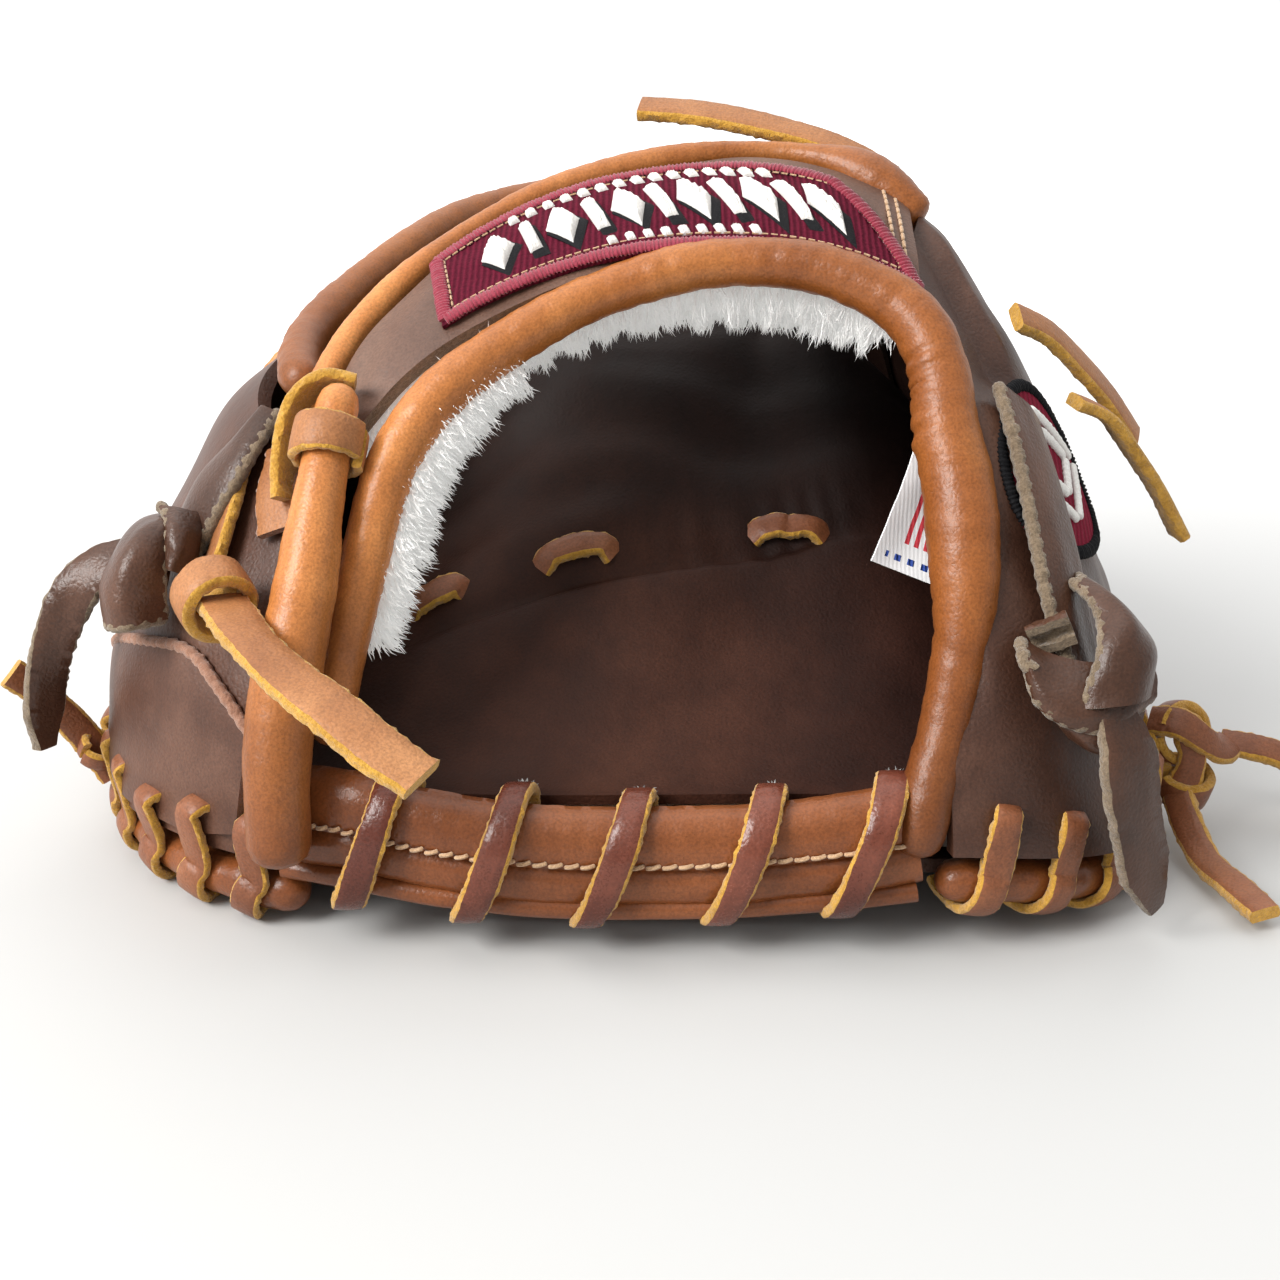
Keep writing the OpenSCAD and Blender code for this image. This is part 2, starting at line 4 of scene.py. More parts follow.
import bpy
import numpy as np
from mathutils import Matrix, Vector


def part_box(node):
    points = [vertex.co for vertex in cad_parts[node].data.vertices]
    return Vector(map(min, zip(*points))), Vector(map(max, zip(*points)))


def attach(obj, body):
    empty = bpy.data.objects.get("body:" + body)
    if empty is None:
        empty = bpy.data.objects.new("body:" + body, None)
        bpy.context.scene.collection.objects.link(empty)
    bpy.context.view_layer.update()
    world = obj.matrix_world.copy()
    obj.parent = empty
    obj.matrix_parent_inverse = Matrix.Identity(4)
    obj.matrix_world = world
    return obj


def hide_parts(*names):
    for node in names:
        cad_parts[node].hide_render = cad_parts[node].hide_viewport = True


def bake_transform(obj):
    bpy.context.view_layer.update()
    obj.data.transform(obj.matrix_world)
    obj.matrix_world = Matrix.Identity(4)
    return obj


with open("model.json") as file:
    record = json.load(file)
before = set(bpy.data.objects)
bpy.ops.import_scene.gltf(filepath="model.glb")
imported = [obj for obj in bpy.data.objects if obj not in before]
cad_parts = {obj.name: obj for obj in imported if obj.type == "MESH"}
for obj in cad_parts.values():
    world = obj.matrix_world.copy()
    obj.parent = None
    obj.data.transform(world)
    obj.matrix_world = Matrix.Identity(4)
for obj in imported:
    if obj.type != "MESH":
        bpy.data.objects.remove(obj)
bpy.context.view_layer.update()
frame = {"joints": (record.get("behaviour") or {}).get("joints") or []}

# A catcher's mitt, palm down, seen from the wrist. Lengths here are millimetres from the middle of the
# heel (HEEL_SHIFT moves them into the frame); +Y to the fingers, +X to the thumb, +Z up.
MM = 0.001
FINGER = "finger_side"
THUMB = "thumb_side"
HINGE = frame["joints"][0]
CENTRE = np.array([30.0, 130.0])
HEEL_SHIFT = np.array([HINGE["pos_m"][0] / MM - CENTRE[0], HINGE["pos_m"][1] / MM - CENTRE[1], 0.0])
FOLD = np.array(HINGE["axis"][:2]) / np.linalg.norm(HINGE["axis"][:2])
FOLD_ANGLE = math.degrees(math.atan2(FOLD[1], FOLD[0]))
PINKY_HALF = CENTRE[0] + HEEL_SHIFT[0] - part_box("finger_back_shell")[0].x / MM
THUMB_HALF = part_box("thumb_back_shell")[1].x / MM - CENTRE[0] - HEEL_SHIFT[0]
HEEL_LEN = 130.0
FINGER_LEN = 160.0
DOME_H = 145.0
POCKET_H = 85.0
LINING_H = 100.0
EDGE_Z = 14.0
HEEL_LIFT = 8.0
PALM_INSET = 12.5
HEEL_POWER = 3.4
FINGER_POWER = 2.3
LEATHER_T = 3.0
LACE_W = 6.5
LACE_T = 2.6
UP = np.array([0.0, 0.0, 1.0])


# ---------------------------------------------------------------- surfaces shared with the CAD

def rim_r(a, off=0.0):
    """Radius of the outline at plan angle a, off mm inside it."""
    c, s = np.cos(np.radians(a)), np.sin(np.radians(a))
    half_x = np.where(c < 0, PINKY_HALF, THUMB_HALF) - off
    half_y = np.where(s < 0, HEEL_LEN, FINGER_LEN) - off
    n = np.where(s < 0, HEEL_POWER, FINGER_POWER)
    return (np.abs(c / half_x) ** n + np.abs(s / half_y) ** n) ** (-1 / n)


def heel_bump(a):
    """1 along the middle of the heel, whose edge is raised, falling to 0 at both its ends."""
    a = (np.asarray(a, float) + 180) % 360 - 180
    return np.exp(-(((a + 92) / 28) ** 4))


def rim_z(a):
    return EDGE_Z + HEEL_LIFT * heel_bump(a)


def plan(a, d):
    """Plan x and y at angle a and distance d from the middle of the palm."""
    return CENTRE[0] + d * np.cos(np.radians(a)), CENTRE[1] + d * np.sin(np.radians(a))


def stack(x, y, z):
    x, y, z = np.broadcast_arrays(x, y, z)
    return np.stack([x, y, z], -1).astype(float)


def dome(a, r, off=0.0):
    """Point of the back at plan angle a and share r of the radius, off mm inside it."""
    a, r = np.broadcast_arrays(np.asarray(a, float), np.asarray(r, float))
    c, s = np.cos(np.radians(a)), np.sin(np.radians(a))
    r = np.clip(r, 0, 1)
    p = c * c * np.where(c < 0, 2.0, 1.8) + s * s * np.where(s < 0, 2.6, 1.5)
    q = c * c * np.where(c < 0, 0.56, 1.05) + s * s * np.where(s < 0, 0.75, 0.8)
    d = r * rim_r(a, off)
    z0 = rim_z(a)
    return stack(*plan(a, d), z0 + (DOME_H - off - z0) * (1 - r ** p) ** q)


def polar(x, y, inset=0.0):
    """Plan angle, and share of the radius, of a plan point."""
    dx, dy = np.asarray(x, float) - CENTRE[0], np.asarray(y, float) - CENTRE[1]
    a = np.degrees(np.arctan2(dy, dx))
    return a, np.hypot(dx, dy) / rim_r(a, inset)


def dome_at(x, y, off=0.0):
    a, r = polar(x, y, off)
    return dome(a, r, off)


def dome_normal(x, y):
    x, y = np.asarray(x, float), np.asarray(y, float)
    u = dome_at(x + 1, y) - dome_at(x - 1, y)
    v = dome_at(x, y + 1) - dome_at(x, y - 1)
    return unit(np.cross(u, v))


def heel_share(a):
    """0 on the finger half of the palm, rising to 1 at the middle of the heel."""
    return np.maximum(0, -np.sin(np.radians(a))) ** 2


def mix(a, b, t):
    return a + (b - a) * t


def catch_z(a, r):
    """Height of the catching face, which looks down at the table."""
    w = heel_share(a)
    z0 = (HEEL_LIFT + 4) * heel_bump(a)
    k = np.minimum(1, r / 0.9)
    lip = 8 * (1 - w) * np.maximum(0, (r - 0.9) / 0.1) ** 2
    return z0 + (POCKET_H - z0) * (1 - k ** mix(2, 1.5, w)) ** mix(1.8, 2, w) + lip


def lining_z(a, r):
    """Height of the hand lining, which looks up into the hand opening."""
    w = heel_share(a)
    z0 = mix(24, 29, w)
    r = np.minimum(r, 1)
    return z0 + (LINING_H - z0) * (1 - r ** mix(2, 1.3, w)) ** mix(1.8, 2, w)


def lining_at(x, y):
    a, r = polar(x, y, PALM_INSET)
    return stack(x, y, lining_z(a, r) + lining_relief(x, y))


def bump(x, width):
    """1 at x = 0, falling smoothly to 0 past width on each side."""
    return np.exp(-((x / width) ** 2))


def lining_relief(x, y):
    """The cross crease of the lining, the swell on each side of it, and the wrinkles that run into it."""
    x, y = np.asarray(x, float), np.asarray(y, float)
    d = y - (71.5 + 0.2 * x)
    inside = bump(x - 2, 62)
    crease = -3.2 * bump(d, 2.2) + 2.6 * bump(d - 9, 7) + 1.8 * bump(d + 9, 8)
    wrinkles = 0.45 * np.sin(x * 0.9 + 0.3 * d + 2 * np.sin(x * 0.16)) * bump(d - 3, 6) * bump(x - 30, 22)
    folds = 0.8 * np.sin(d * 0.42 + 0.05 * x + 1.5 * np.sin(x * 0.05)) * bump(d - 30, 20)
    dip = -3.8 * bump(np.maximum(0, y - 4), 22) * np.clip(1 - ((x + 5) / 62) ** 2, 0, 1)
    back = np.clip((y - 80) / 34, 0, 1) ** 1.5 * bump((y - 125) / 60, 1.0)
    fill = back * (3 + 12 * bump(np.abs(x - 26) - 50, 22))
    return inside * (crease + wrinkles + folds) + dip + fill + 0.6 * waves(x, y, 34, 5)


def waves(x, y, size, seed):
    """Smooth repeatable noise from -1 to 1, made of crossing waves about size mm long."""
    rng = np.random.default_rng(seed)
    total = 0.0
    for k in range(6):
        turn = rng.uniform(0, 2 * math.pi)
        length = size * rng.uniform(0.6, 1.7)
        shift = rng.uniform(0, 2 * math.pi)
        total = total + np.sin((x * math.cos(turn) + y * math.sin(turn)) * 2 * math.pi / length + shift)
    return total / 6 * 1.6


# ---------------------------------------------------------------- mesh tools

def unit(v):
    v = np.asarray(v, float)
    return v / np.maximum(1e-9, np.linalg.norm(v, axis=-1, keepdims=True))


def along_path(path):
    """Length along a path at each of its points, from 0."""
    return np.concatenate([[0], np.cumsum(np.linalg.norm(np.diff(path, axis=0), axis=1))])


def curve(points, count):
    """A smooth line through points, at count + 1 places spaced evenly along it."""
    p = np.asarray(points, float)
    n = len(p) - 1
    t = np.linspace(0, n, 12 * n + 1)
    k = np.minimum(n - 1, t.astype(int))
    f = (t - k)[:, None]
    p0, p1, p2, p3 = p[np.maximum(0, k - 1)], p[k], p[k + 1], p[np.minimum(n, k + 2)]
    c = 0.5 * (2 * p1 + (p2 - p0) * f + (2 * p0 - 5 * p1 + 4 * p2 - p3) * f ** 2
               + (3 * p1 - p0 - 3 * p2 + p3) * f ** 3)
    s = along_path(c)
    at = np.linspace(0, s[-1], count + 1)
    return np.stack([np.interp(at, s, c[:, i]) for i in range(c.shape[1])], 1)


def line_length(path):
    return float(np.linalg.norm(np.diff(path, axis=0), axis=1).sum())


def build(name, points, faces, face_mats, materials, uvs=None):
    """A mesh object from points in mm. uvs gives one (u, v) in mm for each point."""
    mesh = bpy.data.meshes.new(name)
    co = (np.asarray(points, float) + HEEL_SHIFT) * MM
    mesh.from_pydata(co.tolist(), [], [list(map(int, f)) for f in faces])
    for m in materials:
        mesh.materials.append(m)
    mesh.polygons.foreach_set("material_index", np.asarray(face_mats, np.int32))
    mesh.polygons.foreach_set("use_smooth", np.ones(len(mesh.polygons), bool))
    if uvs is not None:
        layer = mesh.uv_layers.new(name="UVMap")
        index = np.zeros(len(mesh.loops), np.int32)
        mesh.loops.foreach_get("vertex_index", index)
        layer.data.foreach_set("uv", (np.asarray(uvs, float)[index] * MM * 10).astype(np.float32).ravel())
    mesh.validate()
    mesh.update()
    mesh.set_sharp_from_angle(angle=math.radians(50))
    obj = bpy.data.objects.new(name, mesh)
    bpy.context.scene.collection.objects.link(obj)
    return obj


def grid_faces(rows, cols, start=0, flip=False, loop=False):
    i = np.arange(rows if loop else rows - 1)
    j = np.arange(cols - 1)
    a = (i[:, None] * cols + j[None, :]).ravel()
    d = (((i + 1) % rows)[:, None] * cols + j[None, :]).ravel()
    quads = np.stack([a, a + 1, d + 1, d], 1) + start
    return quads[:, ::-1] if flip else quads


def slab(name, top, bottom, materials, uvs=None):
    """A sheet of leather between two grids of points: materials are the face, the cut edge and the back."""
    rows, cols = top.shape[:2]
    count = rows * cols
    points = np.concatenate([top.reshape(-1, 3), bottom.reshape(-1, 3)])
    upper = grid_faces(rows, cols, 0, True)
    lower = grid_faces(rows, cols, count, False)
    loop = np.concatenate([np.arange(cols), np.arange(1, rows) * cols + cols - 1,
                           (rows - 1) * cols + np.arange(cols - 2, -1, -1),
                           np.arange(rows - 2, 0, -1) * cols])
    nxt = np.roll(loop, -1)
    walls = np.stack([loop, nxt, nxt + count, loop + count], 1)
    faces = np.concatenate([upper, lower, walls])
    mats = np.concatenate([np.zeros(len(upper)), np.full(len(lower), len(materials) - 1),
                           np.full(len(walls), min(1, len(materials) - 1))])
    if uvs is not None:
        uvs = np.concatenate([uvs.reshape(-1, 2)] * 2)
    return build(name, points, faces, mats, materials, uvs)


def frames(path, ups):
    """Tangent, side and up at each point of a path."""
    t = unit(np.gradient(path, axis=0))
    s = unit(np.cross(t, np.broadcast_to(np.asarray(ups, float), path.shape)))
    return t, s, np.cross(s, t)


def sweep(name, path, section, ups, materials, side_mats=None, scale=None, relief=None, round_ends=0.0):
    """Carries a section of (side, up) points along a path. scale is per path point, and may differ for side
    and up. relief(s, k) moves the points out by mm, for s along the path and k from 0 to 1 round it."""
    path = np.asarray(path, float)
    n, m = len(path), len(section)
    along = along_path(path)
    t, s, u = frames(path, ups)
    scale = np.ones((n, 2)) if scale is None else np.asarray(scale, float)
    if scale.ndim == 1:
        scale = np.stack([scale, scale], 1)
    sec = np.asarray(section, float)[None] * scale[:, None, :]
    if relief is not None:
        out = unit(np.asarray(section, float))[None]
        k = np.arange(m) / m
        sec = sec + out * relief(along[:, None], k[None, :])[..., None]
    rings = path[:, None] + sec[..., :1] * s[:, None] + sec[..., 1:] * u[:, None]
    if round_ends:
        rings, n = add_round_ends(rings, path, t, round_ends)
    points = rings.reshape(-1, 3)
    i, j = np.arange(n - 1)[:, None], np.arange(m)[None, :]
    quads = np.stack([i * m + j, i * m + (j + 1) % m, (i + 1) * m + (j + 1) % m, (i + 1) * m + j],
                     -1).reshape(-1, 4)
    mats = np.zeros(len(quads)) if side_mats is None else np.tile(side_mats, n - 1)
    faces = [list(q) for q in quads]
    faces.append(list(range(m - 1, -1, -1)))
    faces.append([(n - 1) * m + q for q in range(m)])
    end = 0 if side_mats is None or round_ends else min(1, len(materials) - 1)
    mats = np.concatenate([mats, [end, end]])
    lengths = along_path(rings[:, 0])
    uvs = np.stack(np.broadcast_arrays(lengths[:, None], np.arange(m)[None, :] * 1.0), -1).reshape(-1, 2)
    return build(name, points, faces, mats, materials, uvs)


def add_round_ends(rings, path, t, depth):
    """Closes both ends of a roll with rings that shrink along a quarter circle."""
    steps = np.radians([88, 72, 52, 30])
    first = [path[0] + (rings[0] - path[0]) * math.cos(g) - t[0] * depth * math.sin(g) for g in steps]
    last = [path[-1] + (rings[-1] - path[-1]) * math.cos(g)
            + t[-1] * depth * math.sin(g) for g in steps[::-1]]
    rings = np.concatenate([np.array(first), rings, np.array(last)])
    return rings, len(rings)


def circle(r, count):
    g = np.arange(count) * 2 * math.pi / count
    return np.stack([r * np.cos(g), r * np.sin(g)], 1)


def strip_section(w, t):
    """A flat strip with softened corners: the first four points are its grain side."""
    x, y, c = w / 2, t / 2, min(w, t) * 0.22
    return np.array([[x - c, y], [x / 3, y + 0.12], [-x / 3, y + 0.12], [c - x, y], [-x, y - c], [-x, c - y],
                     [c - x, -y], [0, -y], [x - c, -y], [x, c - y], [x, y - c]])


STRIP_SIDES = [0, 0, 0, 1, 1, 1, 1, 1, 1, 1, 1]


def strip(name, path, ups, materials, w=LACE_W, t=LACE_T, seed=1, step=1.2, taper=None):
    """A lace or strap cut from hide: smooth on its grain side and fibrous on its cut edges and back."""
    count = max(6, int(line_length(np.asarray(path, float)) / step))
    line = curve(path, count)
    ups = np.asarray(ups, float)
    if ups.ndim == 2:
        ups = unit(curve(ups, count))
    rng = np.random.default_rng(seed)
    rough = rng.normal(0, 0.11, (count + 1, 11))
    rough[:, :4] *= 0.15
    place = np.linspace(0, 1, count + 1)
    scale = np.stack([1 + 0.05 * np.sin(place * 9 + seed) + 0.02 * rng.normal(size=count + 1),
                      np.ones(count + 1)], 1)
    if taper is not None:
        scale[:, 0] *= np.interp(place, *taper)
    return sweep(name, line, strip_section(w, t), ups, materials, STRIP_SIDES, scale, lambda s, k: rough)


def join(name, parts):
    """One object from several, keeping each one's materials."""
    points, faces, mats, materials, uvs = [], [], [], [], []
    start = 0
    for o in parts:
        mesh = o.data
        co = np.zeros(len(mesh.vertices) * 3)
        mesh.vertices.foreach_get("co", co)
        points.append(co.reshape(-1, 3))
        slots = []
        for m in mesh.materials:
            if m not in materials:
                materials.append(m)
            slots.append(materials.index(m))
        for f in mesh.polygons:
            faces.append([v + start for v in f.vertices])
            mats.append(slots[f.material_index])
        uv = np.zeros((len(mesh.vertices), 2))
        if mesh.uv_layers:
            for loop in mesh.loops:
                uv[loop.vertex_index] = mesh.uv_layers[0].data[loop.index].uv
        uvs.append(uv / (MM * 10))
        start += len(mesh.vertices)
    for o in parts:
        mesh = o.data
        bpy.data.objects.remove(o)
        bpy.data.meshes.remove(mesh)
    points = np.concatenate(points) / MM - HEEL_SHIFT
    return build(name, points, faces, mats, materials, np.concatenate(uvs))


def keep(obj, body, slot, *nodes):
    """obj rides on a body and stands for CAD nodes, whose parts it hides; slot is not used."""
    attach(obj, body)
    if nodes:
        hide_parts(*nodes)
    return obj


def bend(obj, slot, low, high, *nodes):
    """obj is fixed in the frame and stands for CAD nodes, whose parts it hides; slot, low and high are not
    used.
    """
    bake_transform(obj)
    if nodes:
        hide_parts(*nodes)
    return obj


PALM_BEND = (-24.0, 24.0)
STRAP_BEND = (-42.0, 36.0)


# ---------------------------------------------------------------- materials

def add_node(tree, kind, **inputs):
    node = tree.nodes.new("ShaderNode" + kind)
    for key, value in inputs.items():
        node.inputs[key.replace("_", " ")].default_value = value
    return node


class Shader:
    """A Principled material and short ways to add nodes to it."""

    def __init__(self, name, roughness, **sockets):
        self.material = bpy.data.materials.new(name)
        self.material.use_nodes = True
        self.tree = self.material.node_tree
        self.bsdf = self.tree.nodes["Principled BSDF"]
        self.bsdf.inputs["Roughness"].default_value = roughness
        for key, value in sockets.items():
            self.bsdf.inputs[key.replace("_", " ")].default_value = value
        self.here = self.node("TexCoord").outputs["Object"]

    def link(self, a, b):
        self.tree.links.new(a, b)

    def node(self, kind, **inputs):
        """A new node with its inputs set: From_Min is the input called From Min."""
        return add_node(self.tree, kind, **inputs)

    def noise(self, scale, detail=3.0, rough=0.55, stretch=None):
        node = self.node("TexNoise", Scale=scale, Detail=detail, Roughness=rough)
        place = self.here
        if stretch is not None:
            mapping = self.node("Mapping", Scale=stretch)
            self.link(place, mapping.inputs["Vector"])
            place = mapping.outputs["Vector"]
        self.link(place, node.inputs["Vector"])
        return node.outputs["Fac"]

    def cells(self, scale):
        node = self.node("TexVoronoi", Scale=scale)
        node.feature = "DISTANCE_TO_EDGE"
        self.link(self.here, node.inputs["Vector"])
        return node.outputs["Distance"]

    def ramp(self, fac, stops):
        node = self.node("ValToRGB")
        while len(node.color_ramp.elements) < len(stops):
            node.color_ramp.elements.new(0.5)
        for element, (at, colour) in zip(node.color_ramp.elements, stops):
            element.position = at
            element.color = (*colour, 1)
        self.link(fac, node.inputs["Fac"])
        return node.outputs["Color"]

    def blend(self, fac, a, b, mode="MIX"):
        node = self.node("Mix")
        node.data_type = "RGBA"
        node.blend_type = mode
        for key, value in (("Factor_Float", fac), ("A_Color", a), ("B_Color", b)):
            socket = next(s for s in node.inputs if s.identifier == key)
            if isinstance(value, (int, float)):
                socket.default_value = value
            elif isinstance(value, tuple):
                socket.default_value = (*value, 1)
            else:
                self.link(value, socket)
        return next(s for s in node.outputs if s.identifier == "Result_Color")

    def along(self, axis, low, high):
        """Rises from 0 to 1 as the place along an axis of the frame goes from low to high, in metres."""
        split = self.node("SeparateXYZ")
        self.link(self.here, split.inputs["Vector"])
        node = self.node("MapRange", From_Min=low, From_Max=high)
        self.link(split.outputs[axis], node.inputs["Value"])
        return node.outputs["Result"]

    def scaled(self, value, low, high):
        node = self.node("MapRange", To_Min=low, To_Max=high)
        self.link(value, node.inputs["Value"])
        return node.outputs["Result"]

    def add(self, a, b, share=1.0):
        node = self.node("Math")
        node.operation = "MULTIPLY_ADD"
        self.link(b, node.inputs[0])
        node.inputs[1].default_value = share
        self.link(a, node.inputs[2])
        return node.outputs["Value"]

    def bump(self, height, strength, distance):
        node = self.node("Bump", Strength=strength, Distance=distance)
        self.link(height, node.inputs["Height"])
        self.link(node.outputs["Normal"], self.bsdf.inputs["Normal"])

    def colour(self, socket):
        self.link(socket, self.bsdf.inputs["Base Color"])

    def rough(self, value, low, high):
        self.link(self.scaled(value, low, high), self.bsdf.inputs["Roughness"])


def leather(name, dark, mid, light, gloss, grain=0.35, shine=0.42, light_and_shade=()):
    """Oiled hide: cloudy colour, fine pores and creases, and a soft uneven shine.
    light_and_shade darkens or lightens it along the frame with painted light and shade: each is (axis, place
    with none, place with all, colour)."""
    m = Shader(name, 0.5, Specular_IOR_Level=shine)
    clouds = m.noise(26, 4, 0.6)
    streaks = m.noise(90, 3, 0.6, (1, 0.35, 0.6))
    pores = m.cells(820)
    fine = m.noise(1900, 2, 0.6)
    tone = m.add(clouds, streaks, 0.45)
    base = m.ramp(tone, [(0.42, dark), (0.72, mid), (1.0, light)])
    specks = m.ramp(fine, [(0.3, (0.72, 0.72, 0.72)), (0.62, (1.06, 1.06, 1.06))])
    base = m.blend(1.0, base, specks, "MULTIPLY")
    # Each entry paints light or shade into the colour, multiplying it along one axis of the frame.
    for axis, none, full, tint in light_and_shade:
        base = m.blend(m.along(axis, none, full), base, m.blend(1.0, base, tint, "MULTIPLY"))
    m.colour(base)
    m.rough(m.add(streaks, fine, 0.4), *gloss)
    height = m.add(m.scaled(pores, 0, 1), fine, 0.35)
    height = m.add(height, m.noise(260, 4, 0.62), 1.4)
    m.bump(height, grain, 0.00035)
    return m.material


def suede(name, dark, light, scale=1400):
    """The fibrous flesh side and cut edges of hide."""
    m = Shader(name, 0.92, Specular_IOR_Level=0.15, Sheen_Weight=0.35, Sheen_Roughness=0.5)
    fibres = m.noise(scale, 4, 0.75)
    patches = m.noise(130, 3, 0.6)
    m.colour(m.ramp(m.add(fibres, patches, 0.5), [(0.45, dark), (0.95, light)]))
    m.bump(m.add(fibres, m.noise(scale * 0.35, 3, 0.7), 1.2), 0.9, 0.0006)
    return m.material


def cloth(name, dark, light, thread=1500, weave=0.7):
    """Woven patch cloth with a twill of fine threads."""
    m = Shader(name, 0.9, Specular_IOR_Level=0.1)
    across = m.node("TexWave", Scale=thread / 6, Distortion=1.2, Detail=2)
    m.link(m.here, across.inputs["Vector"])
    fuzz = m.noise(thread, 3, 0.7)
    m.colour(m.ramp(m.add(fuzz, across.outputs["Fac"], 0.4), [(0.35, dark), (1.0, light)]))
    m.bump(m.add(fuzz, across.outputs["Fac"], 0.8), weave, 0.0004)
    return m.material


def yarn(name, dark, light, shine=0.25, sheen=0.4):
    """Embroidery thread: fine, slightly shiny fibres."""
    m = Shader(name, 0.6, Specular_IOR_Level=shine, Sheen_Weight=sheen)
    fibres = m.noise(2600, 3, 0.7)
    m.colour(m.ramp(fibres, [(0.3, dark), (0.7, light)]))
    m.bump(fibres, 0.5, 0.0003)
    return m.material


def fleece(name):
    # Painted light: the fleece glows faintly white, so that its pile stays bright where its strands shade
    # each other.
    m = Shader(name, 0.95, Specular_IOR_Level=0.1, Emission_Strength=0.13)
    m.bsdf.inputs["Emission Color"].default_value = (1.0, 1.0, 0.99, 1)
    clumps = m.noise(220, 4, 0.7)
    m.colour(m.ramp(clumps, [(0.3, (0.9, 0.9, 0.885)), (0.65, (0.98, 0.98, 0.97))]))
    m.bump(m.noise(1200, 4, 0.75), 0.8, 0.0008)
    return m.material


def felt(name, dark, light):
    m = Shader(name, 0.95, Specular_IOR_Level=0.1, Sheen_Weight=0.3)
    fibres = m.noise(1100, 5, 0.8)
    m.colour(m.ramp(fibres, [(0.35, dark), (0.65, light)]))
    m.bump(fibres, 0.8, 0.0006)
    return m.material


# Painted shade: the walnut hide is darkened towards the thumb side (+X), away from the key light on the left.
walnut = leather(
    "walnut_leather", (0.04, 0.0145, 0.008), (0.086, 0.034, 0.019), (0.165, 0.077, 0.048), (0.32, 0.52),
    light_and_shade=[("X", 0.03, 0.1, (0.62, 0.62, 0.64))])
strap_hide = leather(
    "strap_leather", (0.075, 0.035, 0.022), (0.135, 0.068, 0.045), (0.21, 0.12, 0.082), (0.36, 0.56))
# Painted shade: the lining is darkened deeper into the glove (+Y) and towards the thumb side (+X), where the
# strap, fur and roll shade it.
lining_hide_painted_shade = leather(
    "lining_leather", (0.016, 0.0046, 0.0024), (0.037, 0.0115, 0.0058), (0.068, 0.0235, 0.0125), (0.5, 0.7),
    shine=0.2, light_and_shade=[("Y", -0.085, -0.035, (0.24, 0.27, 0.34)), ("X", 0.0, 0.05, (0.72, 0.68, 0.75))])
# Painted shade: the inner sides of the hides, inside the mitt, are near-black to stand for the shade there.
inner_hide_painted_shade = leather(
    "inner_leather_painted_shade", (0.012, 0.005, 0.0035), (0.024, 0.01, 0.0065), (0.04, 0.017, 0.011), (0.6, 0.8),
                     shine=0.12)
loop_hide = leather(
    "loop_leather", (0.034, 0.0145, 0.008), (0.075, 0.0315, 0.0175), (0.14, 0.062, 0.036), (0.26, 0.42))
# Painted light and shade: the tan rolls are lighter on the left (-X), where the key light falls, darker on
# the right (+X), and darker low down (small Z).
tan = leather(
    "tan_leather", (0.21, 0.06, 0.0125), (0.36, 0.117, 0.026), (0.49, 0.185, 0.048), (0.26, 0.44), 0.26,
    light_and_shade=[("X", 0.005, -0.05, (1.5, 1.7, 2.0)), ("X", 0.01, 0.055, (0.82, 0.78, 0.75)),
           ("Z", 0.07, 0.028, (0.44, 0.37, 0.36))])
back_tan = leather(
    "back_tan_leather", (0.145, 0.04, 0.0085), (0.25, 0.077, 0.0165), (0.35, 0.122, 0.031), (0.3, 0.48), 0.2)
heel_tan = leather(
    "heel_tan_leather", (0.11, 0.03, 0.0085), (0.2, 0.059, 0.0165), (0.31, 0.1, 0.031), (0.2, 0.36), 0.24)
lace_tan = leather(
    "lace_leather", (0.23, 0.078, 0.024), (0.37, 0.15, 0.052), (0.52, 0.24, 0.095), (0.38, 0.56), 0.4)
lace_red = leather(
    "heel_lace_leather", (0.066, 0.0145, 0.0085), (0.125, 0.031, 0.0165), (0.22, 0.066, 0.038), (0.16, 0.32),
                   0.25)
rim_lace = leather(
    "rim_lace_leather", (0.14, 0.043, 0.017), (0.235, 0.08, 0.033), (0.35, 0.142, 0.066), (0.32, 0.5), 0.35)
gold = suede("gold_suede", (0.34, 0.15, 0.012), (0.72, 0.4, 0.06))
raw_edge = suede("raw_edge", (0.075, 0.049, 0.029), (0.29, 0.215, 0.14))
raw_tan = suede("raw_tan_edge", (0.22, 0.1, 0.06), (0.44, 0.23, 0.15))
burgundy = cloth("burgundy_cloth", (0.048, 0.0035, 0.011), (0.13, 0.0105, 0.028))
badge_red = cloth("badge_cloth", (0.13, 0.006, 0.018), (0.25, 0.016, 0.042))
border_thread = yarn("border_thread", (0.18, 0.008, 0.026), (0.34, 0.026, 0.056))
white_thread = yarn("white_thread", (0.7, 0.68, 0.64), (0.93, 0.92, 0.89), 0.15)
black_thread = yarn("black_thread", (0.004, 0.004, 0.005), (0.014, 0.014, 0.016), 0.1, 0.0)
stitch_thread = yarn("stitch_thread", (0.36, 0.2, 0.1), (0.66, 0.45, 0.27))
fleece_painted_glow = fleece("fleece")
grey_felt = felt("grey_felt", (0.12, 0.13, 0.14), (0.62, 0.62, 0.6))
pad_felt = felt("pad_felt", (0.5, 0.48, 0.42), (0.75, 0.72, 0.66))
label_white = cloth("label_cloth", (0.88, 0.885, 0.9), (0.94, 0.94, 0.955), 2200, 0.12)
label_red = cloth("label_red", (0.5, 0.03, 0.05), (0.75, 0.08, 0.1), 2200, 0.2)
label_blue = cloth("label_blue", (0.02, 0.05, 0.25), (0.06, 0.11, 0.42), 2200)

# A lace or strap has its grain side first, then its cut edges and flesh side.
DARK_LACE = [rim_lace, gold]
PALE_LACE = [lace_tan, gold]
LOOP_STRAP = [loop_hide, raw_edge]


